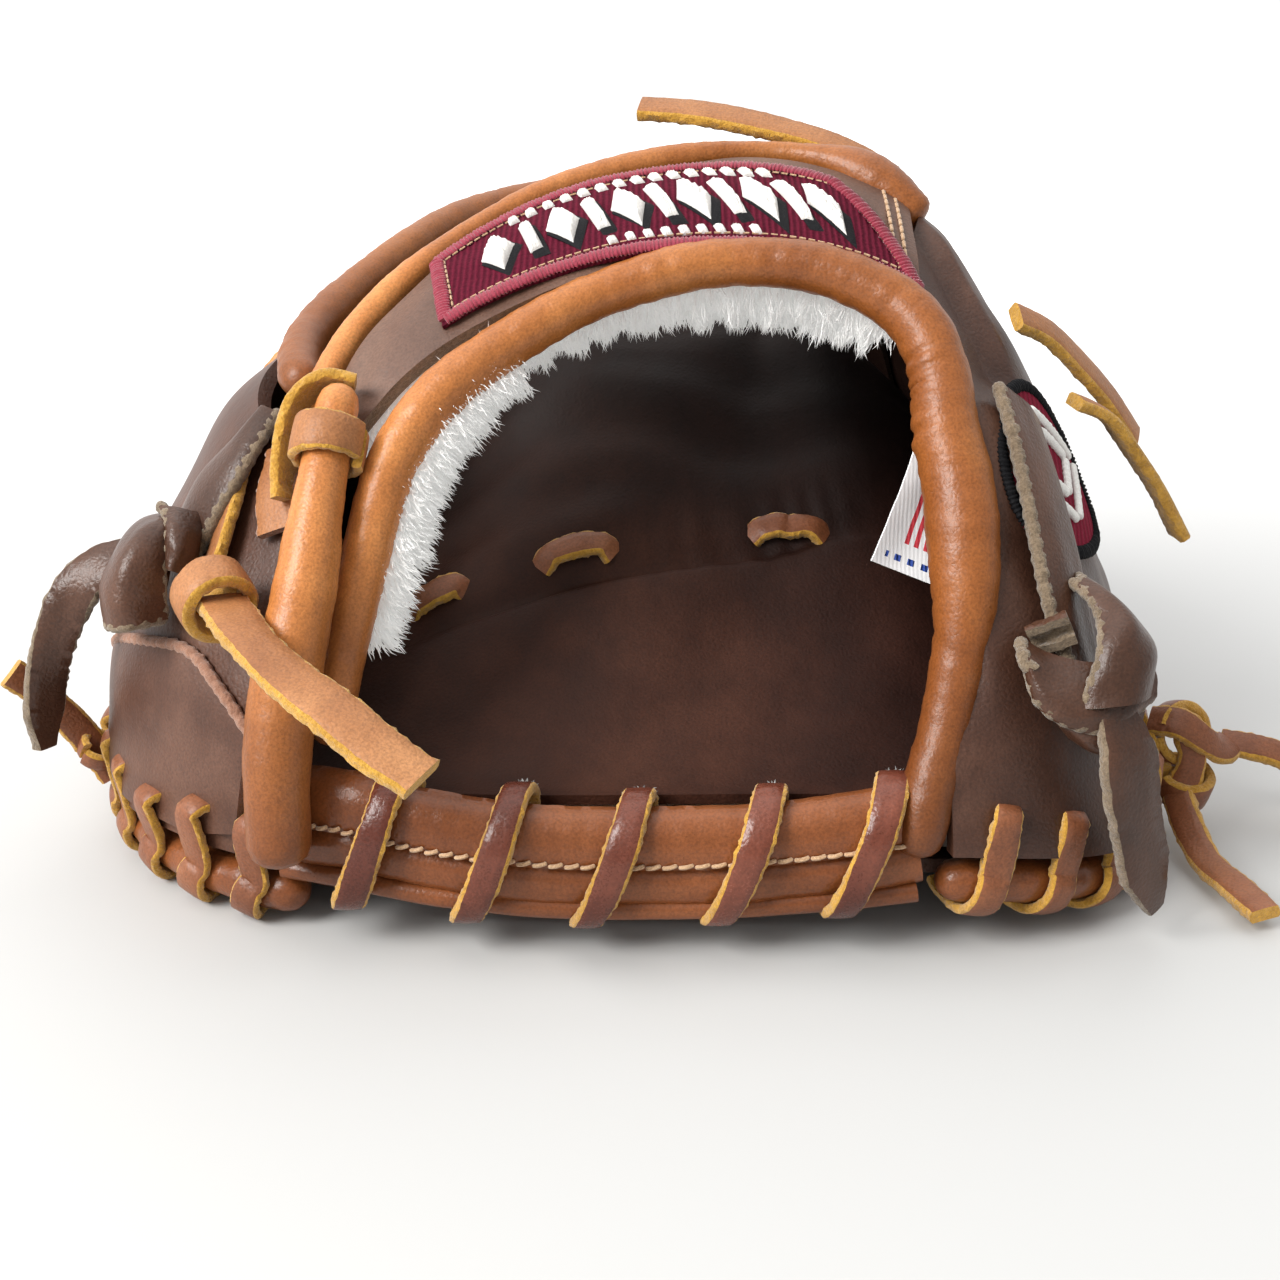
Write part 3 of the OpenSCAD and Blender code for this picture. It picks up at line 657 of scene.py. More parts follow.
# ---------------------------------------------------------------- the camera, and the six loose lace ends

CAMERA_AT = (0.0038, -0.403, 0.159)
CAMERA_TILT = 20
CAMERA_LENS = 43.59


def make_camera():
    data = bpy.data.cameras.new("camera")
    data.sensor_width = 36
    data.lens = CAMERA_LENS
    cam = bpy.data.objects.new("camera", data)
    cam.location = CAMERA_AT
    cam.rotation_euler = (math.radians(90 - CAMERA_TILT), 0, 0)
    bpy.context.scene.collection.objects.link(cam)
    bpy.context.scene.camera = cam


CORDS = {
    "pinky_tie_tail": dict(
        points=[[-79, 19, 66], [-70, 3, 64], [-61, -8, 61], [-52, -16, 58], [-44, -22, 54], [-36, -26, 50]],
        ups=[[0.25, -0.35, 0.9], [0.3, -0.5, 0.8], [0.35, -0.55, 0.75], [0.35, -0.55, 0.75], [0.3, -0.5, 0.8],
             [0.25, -0.45, 0.85]],
        body=FINGER, width=9.4, stiffness="stiff", hides=PALE_LACE),
    "top_lace_tail": dict(
        points=[[55, 97, 138], [44, 102, 144], [30, 107, 148], [14, 111, 151], [0, 114, 152]],
        ups=[[0.1, -0.5, 0.85]] * 5, body=FINGER, width=7.5, stiffness="stiff", hides=PALE_LACE),
    "upper_lace_tail": dict(
        points=[[78, 67, 112], [86, 71, 108], [94, 74, 101], [102, 77, 93], [109, 79, 84]],
        ups=[[0.5, -0.5, 0.7]] * 5, body=THUMB, width=7, stiffness="stiff", hides=PALE_LACE),
    "lower_lace_tail": dict(
        points=[[91, 64, 95], [99, 67, 91], [106, 70, 83], [113, 72, 74], [120, 74, 63]],
        ups=[[0.75, 0.1, 0.65]] * 5, body=THUMB, width=6.5, stiffness="stiff", hides=PALE_LACE),
    "long_rim_lace": dict(
        points=[[130, 60, 19], [140, 57, 18], [152, 54, 13], [166, 51, 8], [180, 49, 5], [196, 48, 4],
                [212, 48, 4], [228, 49, 4]],
        ups=[[0.1, -0.6, 0.8]] * 3 + [[0, -0.3, 0.95]] * 5, body=THUMB, width=6.5, stiffness="medium",
        hides=DARK_LACE),
    "short_rim_lace": dict(
        points=[[118, 50, 11], [118, 41, 7], [119, 31, 4], [121, 21, 4], [123, 10, 4]],
        ups=[[-0.6, 0.1, 0.8], [-0.6, 0.1, 0.8], [-0.4, 0, 0.9], [-0.2, 0, 1], [-0.2, 0, 1]], body=THUMB,
                           width=6.5,
        stiffness="medium", hides=DARK_LACE),
}


def make_cords():
    for k, (name, c) in enumerate(CORDS.items()):
        obj = strip(name + "_end", c["points"], c["ups"], c["hides"], c["width"], LACE_T, 20 + k, 1.0)
        keep(obj, c["body"], "rawhide_lace", name)


# ---------------------------------------------------------------- back leather

FINGER_EDGE = np.array([[80, .18], [120, .3], [150, .46], [180, .6], [200, .73], [215, .78], [224, .82],
                        [230, .97]])
THUMB_EDGE = np.array([[-77.5, .96], [-75.5, .9], [-74, .8], [-72.8, .7], [-70, .62], [-66, .54], [-61, .46],
                       [-57, .42],
                       [-50, .4], [-40, .385], [-20, .36], [0, .34], [20, .31], [40, .27], [60, .225],
                       [80, .18]])
WELTS = [114, 138, 162, 186]


def edge_share(table, a):
    return np.interp(a, table[:, 0], table[:, 1])


def along_normal(grid, amount):
    """Moves a grid of points along its own outward normal."""
    n = unit(np.cross(np.gradient(grid, axis=0), np.gradient(grid, axis=1)))
    out = grid - np.append(CENTRE, 20)
    n = n * np.sign((n * out).sum(-1, keepdims=True))
    return grid + n * amount[..., None]


def arc_uv(grid):
    u = along_path(grid[:, grid.shape[1] // 2])
    v = along_path(grid[grid.shape[0] // 2])
    return stack(u[:, None], v[None], 0)[..., :2]


def back_leather(name, a0, a1, table, cols, rows, relief, materials):
    a = np.linspace(a0, a1, cols)[:, None]
    k = np.linspace(0, 1, rows)[None] ** 0.8
    r = mix(edge_share(table, a), 1, k)
    lift = relief(a, r)
    top = along_normal(dome(a, r), lift)
    return slab(name, top, along_normal(dome(a, r, LEATHER_T), lift * 0.9), materials, arc_uv(top))


def finger_relief(a, r):
    stalls = sum(-1.6 * bump(a - w, 3.0) for w in WELTS)
    pinky = 1.8 * bump(a - 205, 14) * bump(r - 0.85, 0.16)
    xy = dome(a, r)
    sag = 1.3 * waves(xy[..., 0], xy[..., 1] + xy[..., 2], 60, 3)
    small = 0.35 * waves(xy[..., 0] * 1.3, xy[..., 2], 16, 9)
    rim = -1.2 * bump(r - 1, 0.03)
    return stalls * (1 - bump(r - 1, 0.05)) + pinky + sag + small + rim


def thumb_relief(a, r):
    xy = dome(a, r)
    sag = 1.4 * waves(xy[..., 1], xy[..., 2], 55, 13)
    small = 0.4 * waves(xy[..., 1] * 1.2, xy[..., 2], 15, 19)
    seam = 0.9 * bump(a + 56 + (r - 0.97) * 60, 0.55) * (r > 0.93)
    tuck = -3.6 * np.clip((-57 - a) / 3, 0, 1) * np.clip((0.72 - r) / 0.05, 0, 1)
    tuck = tuck - 3.2 * np.clip((-73.2 - a) / 2.5, 0, 1) * np.clip((0.97 - r) / 0.05, 0, 1)
    return sag * (1 - bump(r - edge_share(THUMB_EDGE, a), 0.05)) + small + seam + tuck


def make_back():
    """The back hides of the finger side and the thumb side, and the welts between the finger stalls."""
    obj = back_leather("finger_back_hide", 97, 230, FINGER_EDGE, 300, 90, finger_relief,
                       [walnut, walnut, inner_hide_painted_shade])
    keep(obj, FINGER, "walnut_leather", "finger_back_shell")
    obj = back_leather("thumb_back_hide", -77.5, 64, THUMB_EDGE, 280, 90, thumb_relief,
                       [walnut, walnut, inner_hide_painted_shade])
    keep(obj, THUMB, "walnut_leather", "thumb_back_shell")
    welts = []
    for k, a in enumerate(WELTS):
        r = np.linspace(edge_share(FINGER_EDGE, a) + 0.05, 0.99, 60)
        path = dome(np.full(60, a), r, -0.4)
        welts.append(sweep(f"welt_{k}", path, circle(1.25, 10), dome_normal(path[:, 0], path[:, 1]), [tan],
                           relief=lambda s, k: 0.12 * np.sin(s * 2.1), round_ends=1.2))
    keep(join("finger_stall_welts", welts), FINGER, "tan_leather", "finger_welts")


def overlay_patch(name, outline, lift, thick, materials, rows=40, cols=60):
    """A hide piece laid on the back: outline gives its low and high lines, each as (angle, share) rows."""
    low, high = (curve(line, cols) for line in outline)
    t = np.linspace(0, 1, rows)[None, :, None]
    ar = low[:, None] * (1 - t) + high[:, None] * t
    edge = np.minimum(1, 6 * np.minimum(t[..., 0], 1 - t[..., 0])) ** 0.5
    xy = dome(ar[..., 0], ar[..., 1])
    relief = finger_relief(ar[..., 0] % 360, ar[..., 1])
    top = along_normal(xy, lift + thick + relief - 0.3 * (1 - edge))
    return slab(name, top, along_normal(xy, lift + relief), materials, arc_uv(top))


def make_overlay():
    """The piece of hide laid over the pinky side's back, with its cut upper edge."""
    low = [[-133.5, 0.997], [-138, 0.999], [-143, 0.999], [-148, 0.999], [-153, 0.999], [-158, 0.999]]
    high = [[-132.5, 0.964], [-136.3, 0.947], [-140.6, 0.936], [-146, 0.944], [-151, 0.955], [-157.5, 0.972]]
    obj = overlay_patch("pinky_panel", (low, high), 0.1, 1.8, [walnut, raw_tan, gold])
    line = curve(high, 110)
    lift = 1.1 + finger_relief(line[:, 0] % 360, line[:, 1])
    path = dome(line[:, 0], line[:, 1])
    up = dome_normal(path[:, 0], path[:, 1])
    edge = cut_edge("pinky_panel_edge", path + up * lift[:, None], 1.25, raw_tan, 431)
    keep(join("pinky_side_panel", [obj, edge]), FINGER, "walnut_leather", "pinky_overlay")


# ---------------------------------------------------------------- palm: catching face, pad, lining

def disc(name, angles, radii, top, bottom, materials):
    """A closed sheet over the whole palm, between two heights that take plan angle, share of radius, x, y."""
    a, r = np.meshgrid(angles, radii, indexing="ij")
    x, y = plan(a, rim_r(a, PALM_INSET) * r)
    n, m = a.shape
    count = n * m
    points = np.concatenate([stack(x, y, height(a, r, x, y)).reshape(-1, 3) for height in (top, bottom)])
    middle = points[[0, count]].copy()
    middle[:, :2] = CENTRE
    middle[0, 2] = points[np.arange(n) * m, 2].mean()
    middle[1, 2] = points[count + np.arange(n) * m, 2].mean()
    points = np.concatenate([points, middle])
    upper = grid_faces(n, m, 0, True, True)
    lower = grid_faces(n, m, count, False, True)
    k = np.arange(n)
    nxt = (k + 1) % n
    this, that = k * m + m - 1, nxt * m + m - 1
    rim = np.stack([this + count, that + count, that, this], 1)
    fans = [[2 * count, int(i), int(j)] for i, j in zip(k * m, nxt * m)]
    fans += [[2 * count + 1, int(j) + count, int(i) + count] for i, j in zip(k * m, nxt * m)]
    faces = [list(f) for f in np.concatenate([upper, lower, rim])] + fans
    last = len(materials) - 1
    mats = [0] * len(upper) + [last] * len(lower) + [min(1, last)] * n + [0] * n + [last] * n
    return build(name, points, faces, mats, materials, points[:, :2])


ANGLES = np.arange(0, 360, 1.25)


def pocket_relief(x, y):
    return 0.8 * waves(x, y, 45, 31) + 0.25 * waves(x, y, 12, 37)


def face_z(a, r, x, y):
    """Height of the outer side of the catching face, with its soft lumps."""
    return catch_z(a, r) + pocket_relief(x, y) * (1 - r ** 6)


def hand_z(a, r, x, y, share=1.0):
    """Height of the lining with a share of its creases, which die out at its edge."""
    return lining_z(a, r) + share * lining_relief(x, y) * (1 - r ** 10)


def make_palm():
    radii = np.concatenate([np.linspace(0.03, 0.88, 46), np.linspace(0.9, 1, 9)])
    obj = disc("catching_face", ANGLES, radii, lambda *at: face_z(*at) + LEATHER_T, face_z,
               [inner_hide_painted_shade, walnut, walnut])
    bend(obj, "walnut_leather", *PALM_BEND, "finger_palm_leather", "thumb_palm_leather")
    obj = disc("palm_pad", ANGLES[::3], np.linspace(0.03, 0.97, 24), lambda a, r, x, y: lining_z(a, r) - 2.9,
               lambda a, r, x, y: catch_z(a, r) + 4.2, [pad_felt])
    bend(obj, "felt", *PALM_BEND, "finger_palm_pad", "thumb_palm_pad")
    radii = np.concatenate([np.linspace(0.03, 0.5, 60), np.linspace(0.51, 1, 70)])
    obj = disc("hand_lining", np.arange(0, 360, 0.75), radii, hand_z, lambda *at: hand_z(*at, 0.8) - 2,
               [lining_hide_painted_shade, lining_hide_painted_shade, inner_hide_painted_shade])
    bend(obj, "lining_leather", *PALM_BEND, "finger_palm_lining", "thumb_palm_lining")


LINING_LACES = {"lining_lace_left": [[-52, 67.5], [-39, 69.5]],
                "lining_lace_middle": [[-22, 71.5], [-6, 73.5]],
                "lining_lace_right": [[25, 80], [42, 81]]}


def make_lining_laces():
    made = []
    t = np.linspace(0, 1, 9)
    for k, (name, ends) in enumerate(LINING_LACES.items()):
        xy = np.linspace(*np.array(ends), 9)
        p = lining_at(xy[:, 0], xy[:, 1])
        p[:, 2] += -1.6 + 3.4 * np.sin(np.pi * t) ** 0.3
        made.append(strip(name, p, [0, -0.55, 0.83], DARK_LACE, 6.0, 2.4, 40 + k, 0.7))
    keep(join("lining_lace_stitches", made[:2]), FINGER, "rawhide_lace", "lining_laces")
    keep(made[2], THUMB, "rawhide_lace", "thumb_lining_lace")


# ---------------------------------------------------------------- rolls

MAIN_ROLL = [[-59.5, 17, 42], [-58, 21, 50.1], [-55.6, 25, 61.7], [-52.9, 29, 72], [-50.5, 34, 81.6],
             [-47.3, 38, 90],
             [-40.2, 44, 99.2], [-31.1, 49, 106.2], [-17.9, 54, 113.7], [-5, 58, 118.9], [10, 59, 122.9],
             [24, 59, 124],
             [34.8, 57, 123.1], [43.9, 54, 120.3], [51.1, 51, 116.5], [55.7, 47, 111.4], [58.2, 42, 103.5],
             [58.9, 37, 95], [60.8, 32, 86.1], [61.5, 26, 75.9], [61.3, 19, 62], [57.7, 12, 44],
             [54, 6, 32.1],
             [52.5, 3.5, 25]]
MAIN_ROLL_R = [4.2, 4.4, 4.6, 4.8, 5.0, 5.2, 5.1, 4.9, 4.7, 4.7, 4.7, 4.8, 4.9, 5.1, 5.4, 5.8, 6.3, 6.8, 6.9,
               6.5, 5.2, 5.0,
               5.0, 4.9]
PINKY_ROLL = [[-68, 3, 23], [-68, 5, 34], [-67.5, 8, 43], [-66, 11.5, 53], [-64, 15.5, 62.5], [-62.3, 20, 72],
              [-61.3, 25.5, 81], [-60.4, 30, 87.5], [-59.6, 34.5, 93], [-58.5, 39.5, 99]]
PINKY_ROLL_R = [6.1, 6.0, 6.5, 6.6, 6.3, 5.9, 5.5, 5.0, 4.5, 4.1]
ROLL_END = 4.5


def roll(name, points, radii, materials, step, relief, sides=40, up=(0, 1, 0)):
    """A stuffed leather roll through points, with a radius at each of them."""
    count = int(line_length(np.asarray(points, float)) / step)
    path = curve(points, count)
    share = np.linspace(0, len(radii) - 1, count + 1)
    r = np.interp(share, np.arange(len(radii)), radii)
    return sweep(name, path, circle(1.0, sides), up, materials, scale=r, relief=relief, round_ends=ROLL_END)


def roll_skin(seed, creases, fine=0.12):
    """Soft lumps along a roll, and creases across it, each (place along, place round, width round, depth)."""
    def relief(s, k):
        g = 2 * math.pi * k
        out = 0.22 * waves(s, 9 * np.cos(g) + 9 * np.sin(g), 30, seed)
        out = out + fine * waves(s * 1.6, 6 * np.sin(g), 9, seed + 1)
        out = out + 0.05 * waves(s * 3.2, 14 * np.sin(g), 5, seed + 2)
        for at, turn, width, deep in creases:
            near = np.cos(g - 2 * math.pi * turn)
            place = s - at - 1.2 * near
            fade = np.clip(1 + (near - 1) / width, 0, 1)
            out = out - deep * fade * (bump(place, 0.55) - 0.5 * bump(place - 2, 0.9))
        return out
    return relief


def crease_run(start, stop, count, turn, width, deep, seed):
    """Creases for roll_skin, a little uneven, from start to stop mm along the roll."""
    rng = np.random.default_rng(seed)
    return [(s + rng.normal(0, 0.8), turn + rng.normal(0, 0.05), width * rng.uniform(0.6, 1.2),
             deep * rng.uniform(0.5, 1.3)) for s in np.linspace(start, stop, count)]


def make_rolls():
    """The roll round the hand opening, the pinky side's roll, and the two rolls of the back opening."""
    total = line_length(curve(MAIN_ROLL, 200))
    creases = crease_run(total * 0.655, total * 0.72, 7, 0.55, 0.9, 0.42, 1)
    creases += crease_run(total * 0.73, total * 0.88, 20, 0.35, 0.8, 0.16, 2)
    creases += crease_run(total * 0.2, total * 0.6, 16, 0.25, 0.5, 0.12, 3)
    obj = roll("opening_roll", MAIN_ROLL, MAIN_ROLL_R, [tan], 0.7, roll_skin(51, creases), 44)
    bend(obj, "tan_leather", *STRAP_BEND, "strap_roll", "thumb_side_roll")
    obj = roll("pinky_roll", PINKY_ROLL, PINKY_ROLL_R, [tan], 0.8,
               roll_skin(61, crease_run(6, 80, 10, 0.3, 0.6, 0.15, 4)))
    keep(obj, FINGER, "tan_leather", "pinky_side_roll")
    a = np.linspace(99, 213, 40)
    path = dome(a, edge_share(FINGER_EDGE, a) - 0.048, 0.5)
    obj = roll("back_roll", path, [4.6] * 40, [back_tan], 0.9,
               roll_skin(71, crease_run(8, 250, 60, 0.2, 1.0, 0.35, 5)), 32, up=(-0.8, 0.5, 0.2))
    keep(obj, FINGER, "tan_leather", "back_opening_roll")
    a = np.linspace(-42, 60, 38)
    path = dome(a, edge_share(THUMB_EDGE, a) - 0.035, 0.5)
    path[:5, 2] -= np.array([6.0, 3.5, 1.8, 0.7, 0.2])
    obj = roll("thumb_opening_binding", path, [3.2, 4.2] + [4.6] * 36, [tan], 0.9,
               roll_skin(81, crease_run(8, 140, 34, 0.2, 1.0, 0.35, 6)), 32, up=(1, 0, 0.2))
    keep(obj, THUMB, "tan_leather", "thumb_opening_roll")


# ---------------------------------------------------------------- the rim: edge roll and whipped laces

ROLL_INSET = 4.6
ROLL_DROP = 7.2
EDGE_ROLL_R = 4.4
LACE_PITCH = 14.0


def rim_at(a):
    """Middle of the edge roll at plan angle a."""
    a = np.asarray(a, float)
    return stack(*plan(a, rim_r(a, ROLL_INSET)), rim_z(a) - ROLL_DROP)


def hole_share(a, height):
    """Share of the radius at which the back is height mm above its edge."""
    r = np.linspace(0.9, 1, 60)
    z = dome(np.full(60, float(a)), r)[:, 2]
    return float(np.interp(-(rim_z(a) + height), -z, r))


def edge_loop(name, a, slant, seed, height, wide):
    """One turn of lace: out of its hole in the back, round the edge roll, and under the palm leather."""
    c = rim_at(a)
    tau = unit(rim_at(a + 1) - rim_at(a - 1))
    out = np.cross(tau, UP)
    out = out * np.sign(out @ np.append(c[:2] - CENTRE, 0))
    hole = dome(a, hole_share(a, height))
    n = unit(np.cross(tau, hole - dome(a, hole_share(a, height) - 0.01)))
    n = n * np.sign(n @ out)
    big = EDGE_ROLL_R + 1.3
    turns = np.radians([40, 18, -6, -30, -54, -78])
    rays = [math.cos(g) * out + math.sin(g) * UP for g in turns]
    path = np.array([hole - 3.6 * n + 0.6 * UP, hole - 1.2 * n + 0.7 * UP, hole + 1.0 * n - 0.3 * UP,
                     hole + 1.9 * n - 2.6 * UP, *[c + big * ray for ray in rays],
                     c - 5.2 * UP - 5.0 * out, c - 3.9 * UP - 9.0 * out])
    path = path + np.linspace(0.5, -0.5, len(path))[:, None] * slant * tau
    ups = np.array([unit(UP + 0.4 * n), unit(UP + 0.6 * n), unit(n + 0.8 * UP), unit(n + 0.15 * UP), *rays,
                    -UP, -UP])
    return strip(name, path, ups, DARK_LACE, LACE_W * wide, 1.9, seed, 0.9,
                 ([0, 0.16, 0.3, 1], [0.7, 0.85, 1, 1]))


def make_rim():
    """The edge roll round both sides, and the lace that is whipped over it."""
    for name, a0, a1, body, node in (("finger_rim_roll", FOLD_ANGLE + 1.6, 229, FINGER, "finger_edge_roll"),
                                     ("thumb_rim_roll", -76, FOLD_ANGLE - 4.8, THUMB, "thumb_edge_roll")):
        path = rim_at(np.linspace(a0, a1, 160))
        obj = roll(name, path, [EDGE_ROLL_R] * 160, [heel_tan], 1.4,
                   roll_skin(91, crease_run(5, line_length(path) - 5, 50, 0.2, 1.0, 0.25, 7)), 20,
                   up=(0, 0, 1))
        keep(obj, body, "tan_leather", node)
    rng = np.random.default_rng(8)
    for name, a0, a1, body, node in (("finger_rim_laces", FOLD_ANGLE + 3, 227, FINGER, "finger_edge_laces"),
                                     ("thumb_rim_laces", -74, FOLD_ANGLE - 6, THUMB, "thumb_edge_laces")):
        path = rim_at(np.linspace(a0, a1, 400))
        s = along_path(path)
        count = int(s[-1] / LACE_PITCH)
        at = np.interp(np.linspace(0, s[-1], count + 1), s, np.linspace(a0, a1, 400))
        loops = []
        for k, a in enumerate(at):
            slant = 9.0 + rng.normal(0, 0.8)
            loops.append(edge_loop(f"{name}_{k}", a, slant, 200 + k, 8.5 + rng.normal(0, 0.5),
                                   rng.uniform(0.9, 1.08)))
        keep(join(name, loops), body, "rawhide_lace", node)


# ---------------------------------------------------------------- heel

def heel_at(x, off, z):
    """Place near the heel's edge: x across, off mm inside the outline, at height z."""
    a = np.degrees(np.arctan2(-HEEL_LEN, np.asarray(x, float) - CENTRE[0]))
    return stack(*plan(a, rim_r(a, off)), z)


HEEL_Z = 20.5
HEEL_LEFT = -62
STITCH_PITCH = 3.1
FLAP = [[-4.6, -7], [-4.8, 4], [-4.2, 8.5], [-2, 10.6], [0.6, 10.4], [2.6, 9.0], [3.9, 6.8], [4.6, 4.2],
        [4.9, 2.0],
        [4.7, 1.0], [3.7, 0.6], [3.4, -0.2], [4.3, -1.0], [4.9, -2.6], [4.9, -5.2], [4.2, -7.0], [3.0, -7.9],
        [0, -8.2],
        [-3, -8]]


def heel_sag(x):
    """The heel binding hangs in the middle and rises to both ends, up to where it turns in at HEEL_LEFT."""
    return -2.6 + 5.2 * ((np.maximum(x, HEEL_LEFT) + 5) / 58) ** 2


def make_heel():
    """The folded binding along the heel, the piping below it, its row of stitches, and the lace loops."""
    x = np.linspace(-80, 53, 150)
    path = heel_at(x, 5.4, HEEL_Z + heel_sag(x))
    obj = sweep("heel_band", path, np.array(FLAP), UP, [heel_tan],
                relief=lambda s, k: 0.28 * waves(s, 30 * k, 22, 41) + 0.12 * waves(s * 2, 60 * k, 9, 43))
    bend(obj, "tan_leather", *PALM_BEND, "heel_binding", "thumb_heel_binding")
    pipe = heel_at(x, 2.4, 11.4 + 0.75 * heel_sag(x))
    obj = sweep("heel_pipe", pipe, circle(2.1, 14), UP, [heel_tan], relief=lambda s,
                k: 0.1 * waves(s, 20 * k, 12, 45))
    bend(obj, "tan_leather", *PALM_BEND, "heel_piping", "thumb_heel_piping")
    threads = []
    for k, at in enumerate(np.arange(-72, 51, STITCH_PITCH)):
        ends = heel_at(np.array([at - 1.15, at + 1.15]), 0.35, HEEL_Z + 1.3 + heel_sag(at))
        ends[1, 2] += 0.5
        line = np.linspace(ends[0], ends[1], 5)
        line[:, 1] -= 0.35 * np.sin(np.linspace(0, math.pi, 5))
        threads.append(sweep(f"thread_{k}", line, circle(0.42, 6), UP, [stitch_thread], round_ends=0.3))
    obj = join("heel_stitches", threads)
    bend(obj, "rawhide_lace", *PALM_BEND)
    make_heel_laces()


HEEL_LACES = [-50, -27, -4, 21, 44]


def make_heel_laces():
    loops, holes = [], []
    for k, x in enumerate(HEEL_LACES):
        y = heel_at(x, 0, 0)[1]
        h = heel_sag(x)
        path = [[x + 4.8, y + 13.5, 24 + h], [x + 4.4, y + 11.5, 31.5 + h], [x + 3.4, y + 6.5, 33.2 + h],
                [x + 2.0, y + 1.6, 30.5 + h], [x + 0.2, y - 1.4, 25.5 + h], [x - 2.2, y - 2.0, 19 + h],
                [x - 4.6, y - 1.6, 13 + 0.7 * h], [x - 6.2, y + 0.8, 9.2 + 0.6 * h],
                [x - 6.6, y + 5.5, 7.6 + 0.6 * h]]
        ups = [[0, 1, 0.2], [0, 0.7, 0.8], [0, -0.2, 1], [-0.05, -0.8, 0.7], [-0.12, -1, 0.3], [-0.15, -1, 0],
               [-0.1, -1, -0.3], [0, -0.6, -0.9], [0, 0, -1]]
        loops.append(strip(f"heel_lace_{k}", path, ups, [lace_red, gold], 6.2, 2.3, 70 + k, 0.8))
        holes.append(felt_tuft(f"felt_{k}", [x + 4.8, y + 13.4, 30.5 + h], 2.4, 80 + k))
    obj = join("heel_lace_loops", loops)
    bend(obj, "heel_lace", *PALM_BEND, "heel_laces", "thumb_heel_laces")
    obj = join("heel_felt_tufts", holes)
    bend(obj, "felt", *PALM_BEND)


TUFT_FIBRES = 70


def felt_tuft(name, at, r, seed):
    """Frayed felt that shows in a lace hole: a ball of short stiff fibres."""
    rng = np.random.default_rng(seed)
    roots, tips = [], []
    for _ in range(TUFT_FIBRES):
        d = unit(rng.normal(size=3) * [1, 0.8, 0.8] + [0, -0.2, 0.35])
        roots.append(np.array(at) + d * r * 0.5)
        tips.append(np.array(at) + d * r * rng.uniform(0.85, 1.35) * [1, 0.8, 0.9])
    return strands(name, np.array(roots), np.array(tips), 0.32, grey_felt, rng)


STRAND_BENDS = 2


def strands(name, roots, tips, thick, material, rng, droop=0.0):
    """Many tapering fibres, each a three-sided spike that curves between its root and its tip."""
    n = len(roots)
    bends = STRAND_BENDS
    reach = np.linalg.norm(tips - roots, axis=1)
    d = unit(tips - roots)
    side = unit(np.cross(d, unit(rng.normal(size=(n, 3)))))
    other = np.cross(d, side)
    rings = []
    for k in range(bends + 1):
        t = k / (bends + 1)
        arch = math.sin(math.pi * t)
        mid = roots * (1 - t) + tips * t + arch * droop * UP + side * (reach * 0.12 * arch)[:, None]
        w = thick * (1 - 0.75 * t)
        for g in (0, 2.094, 4.189):
            rings.append(mid + w * (math.cos(g) * side + math.sin(g) * other))
    count = 3 * (bends + 1)
    points = np.concatenate([np.stack(rings, 1), tips[:, None]], 1)
    first = (np.arange(n) * (count + 1))[:, None, None]
    walls = [[3 * k + j, 3 * k + (j + 1) % 3, 3 * k + 3 + (j + 1) % 3, 3 * k + 3 + j]
             for k in range(bends) for j in range(3)]
    caps = [[3 * bends + j, 3 * bends + (j + 1) % 3, count] for j in range(3)]
    faces = [f for part in (walls, caps) for f in (np.array(part) + first).reshape(-1, len(part[0])).tolist()]
    return build(name, points.reshape(-1, 3), faces, np.zeros(len(faces)), [material])


# ---------------------------------------------------------------- wrist strap

STRAP_FRONT = [[-57, 43], [-48, 50], [-32, 58], [-5, 66], [24, 67], [43, 62], [56, 55]]
STRAP_REAR = [[-62, 52], [-54, 64], [-37, 78], [-9, 91], [22, 96], [42, 91], [57, 83]]
BINDING = [[-66, 55], [-58, 68], [-40, 83], [-11, 96], [22, 101], [43, 96], [59, 87]]
FRONT_LINE = curve(STRAP_FRONT, 400)
REAR_LINE = curve(STRAP_REAR, 400)


def strap_xy(u, v):
    """Plan point at share u along the strap and v across it, from its front edge to its rear edge."""
    u, v = np.broadcast_arrays(np.asarray(u, float), np.asarray(v, float))
    at = np.clip(u, 0, 1) * 400
    k = np.arange(401)
    front = np.stack([np.interp(at, k, FRONT_LINE[:, i]) for i in range(2)], -1)
    rear = np.stack([np.interp(at, k, REAR_LINE[:, i]) for i in range(2)], -1)
    return front * (1 - v[..., None]) + rear * v[..., None]


def strap_point(u, v, lift=0.0):
    xy = strap_xy(u, v)
    return dome_at(xy[..., 0], xy[..., 1]) + dome_normal(xy[..., 0], xy[..., 1]) * np.asarray(lift)[..., None]


def front_reach(u):
    """How far the strap reaches under the roll, as a share across it."""
    return -0.05 - 0.26 * np.sin(np.pi * np.clip(u, 0, 1)) ** 0.7


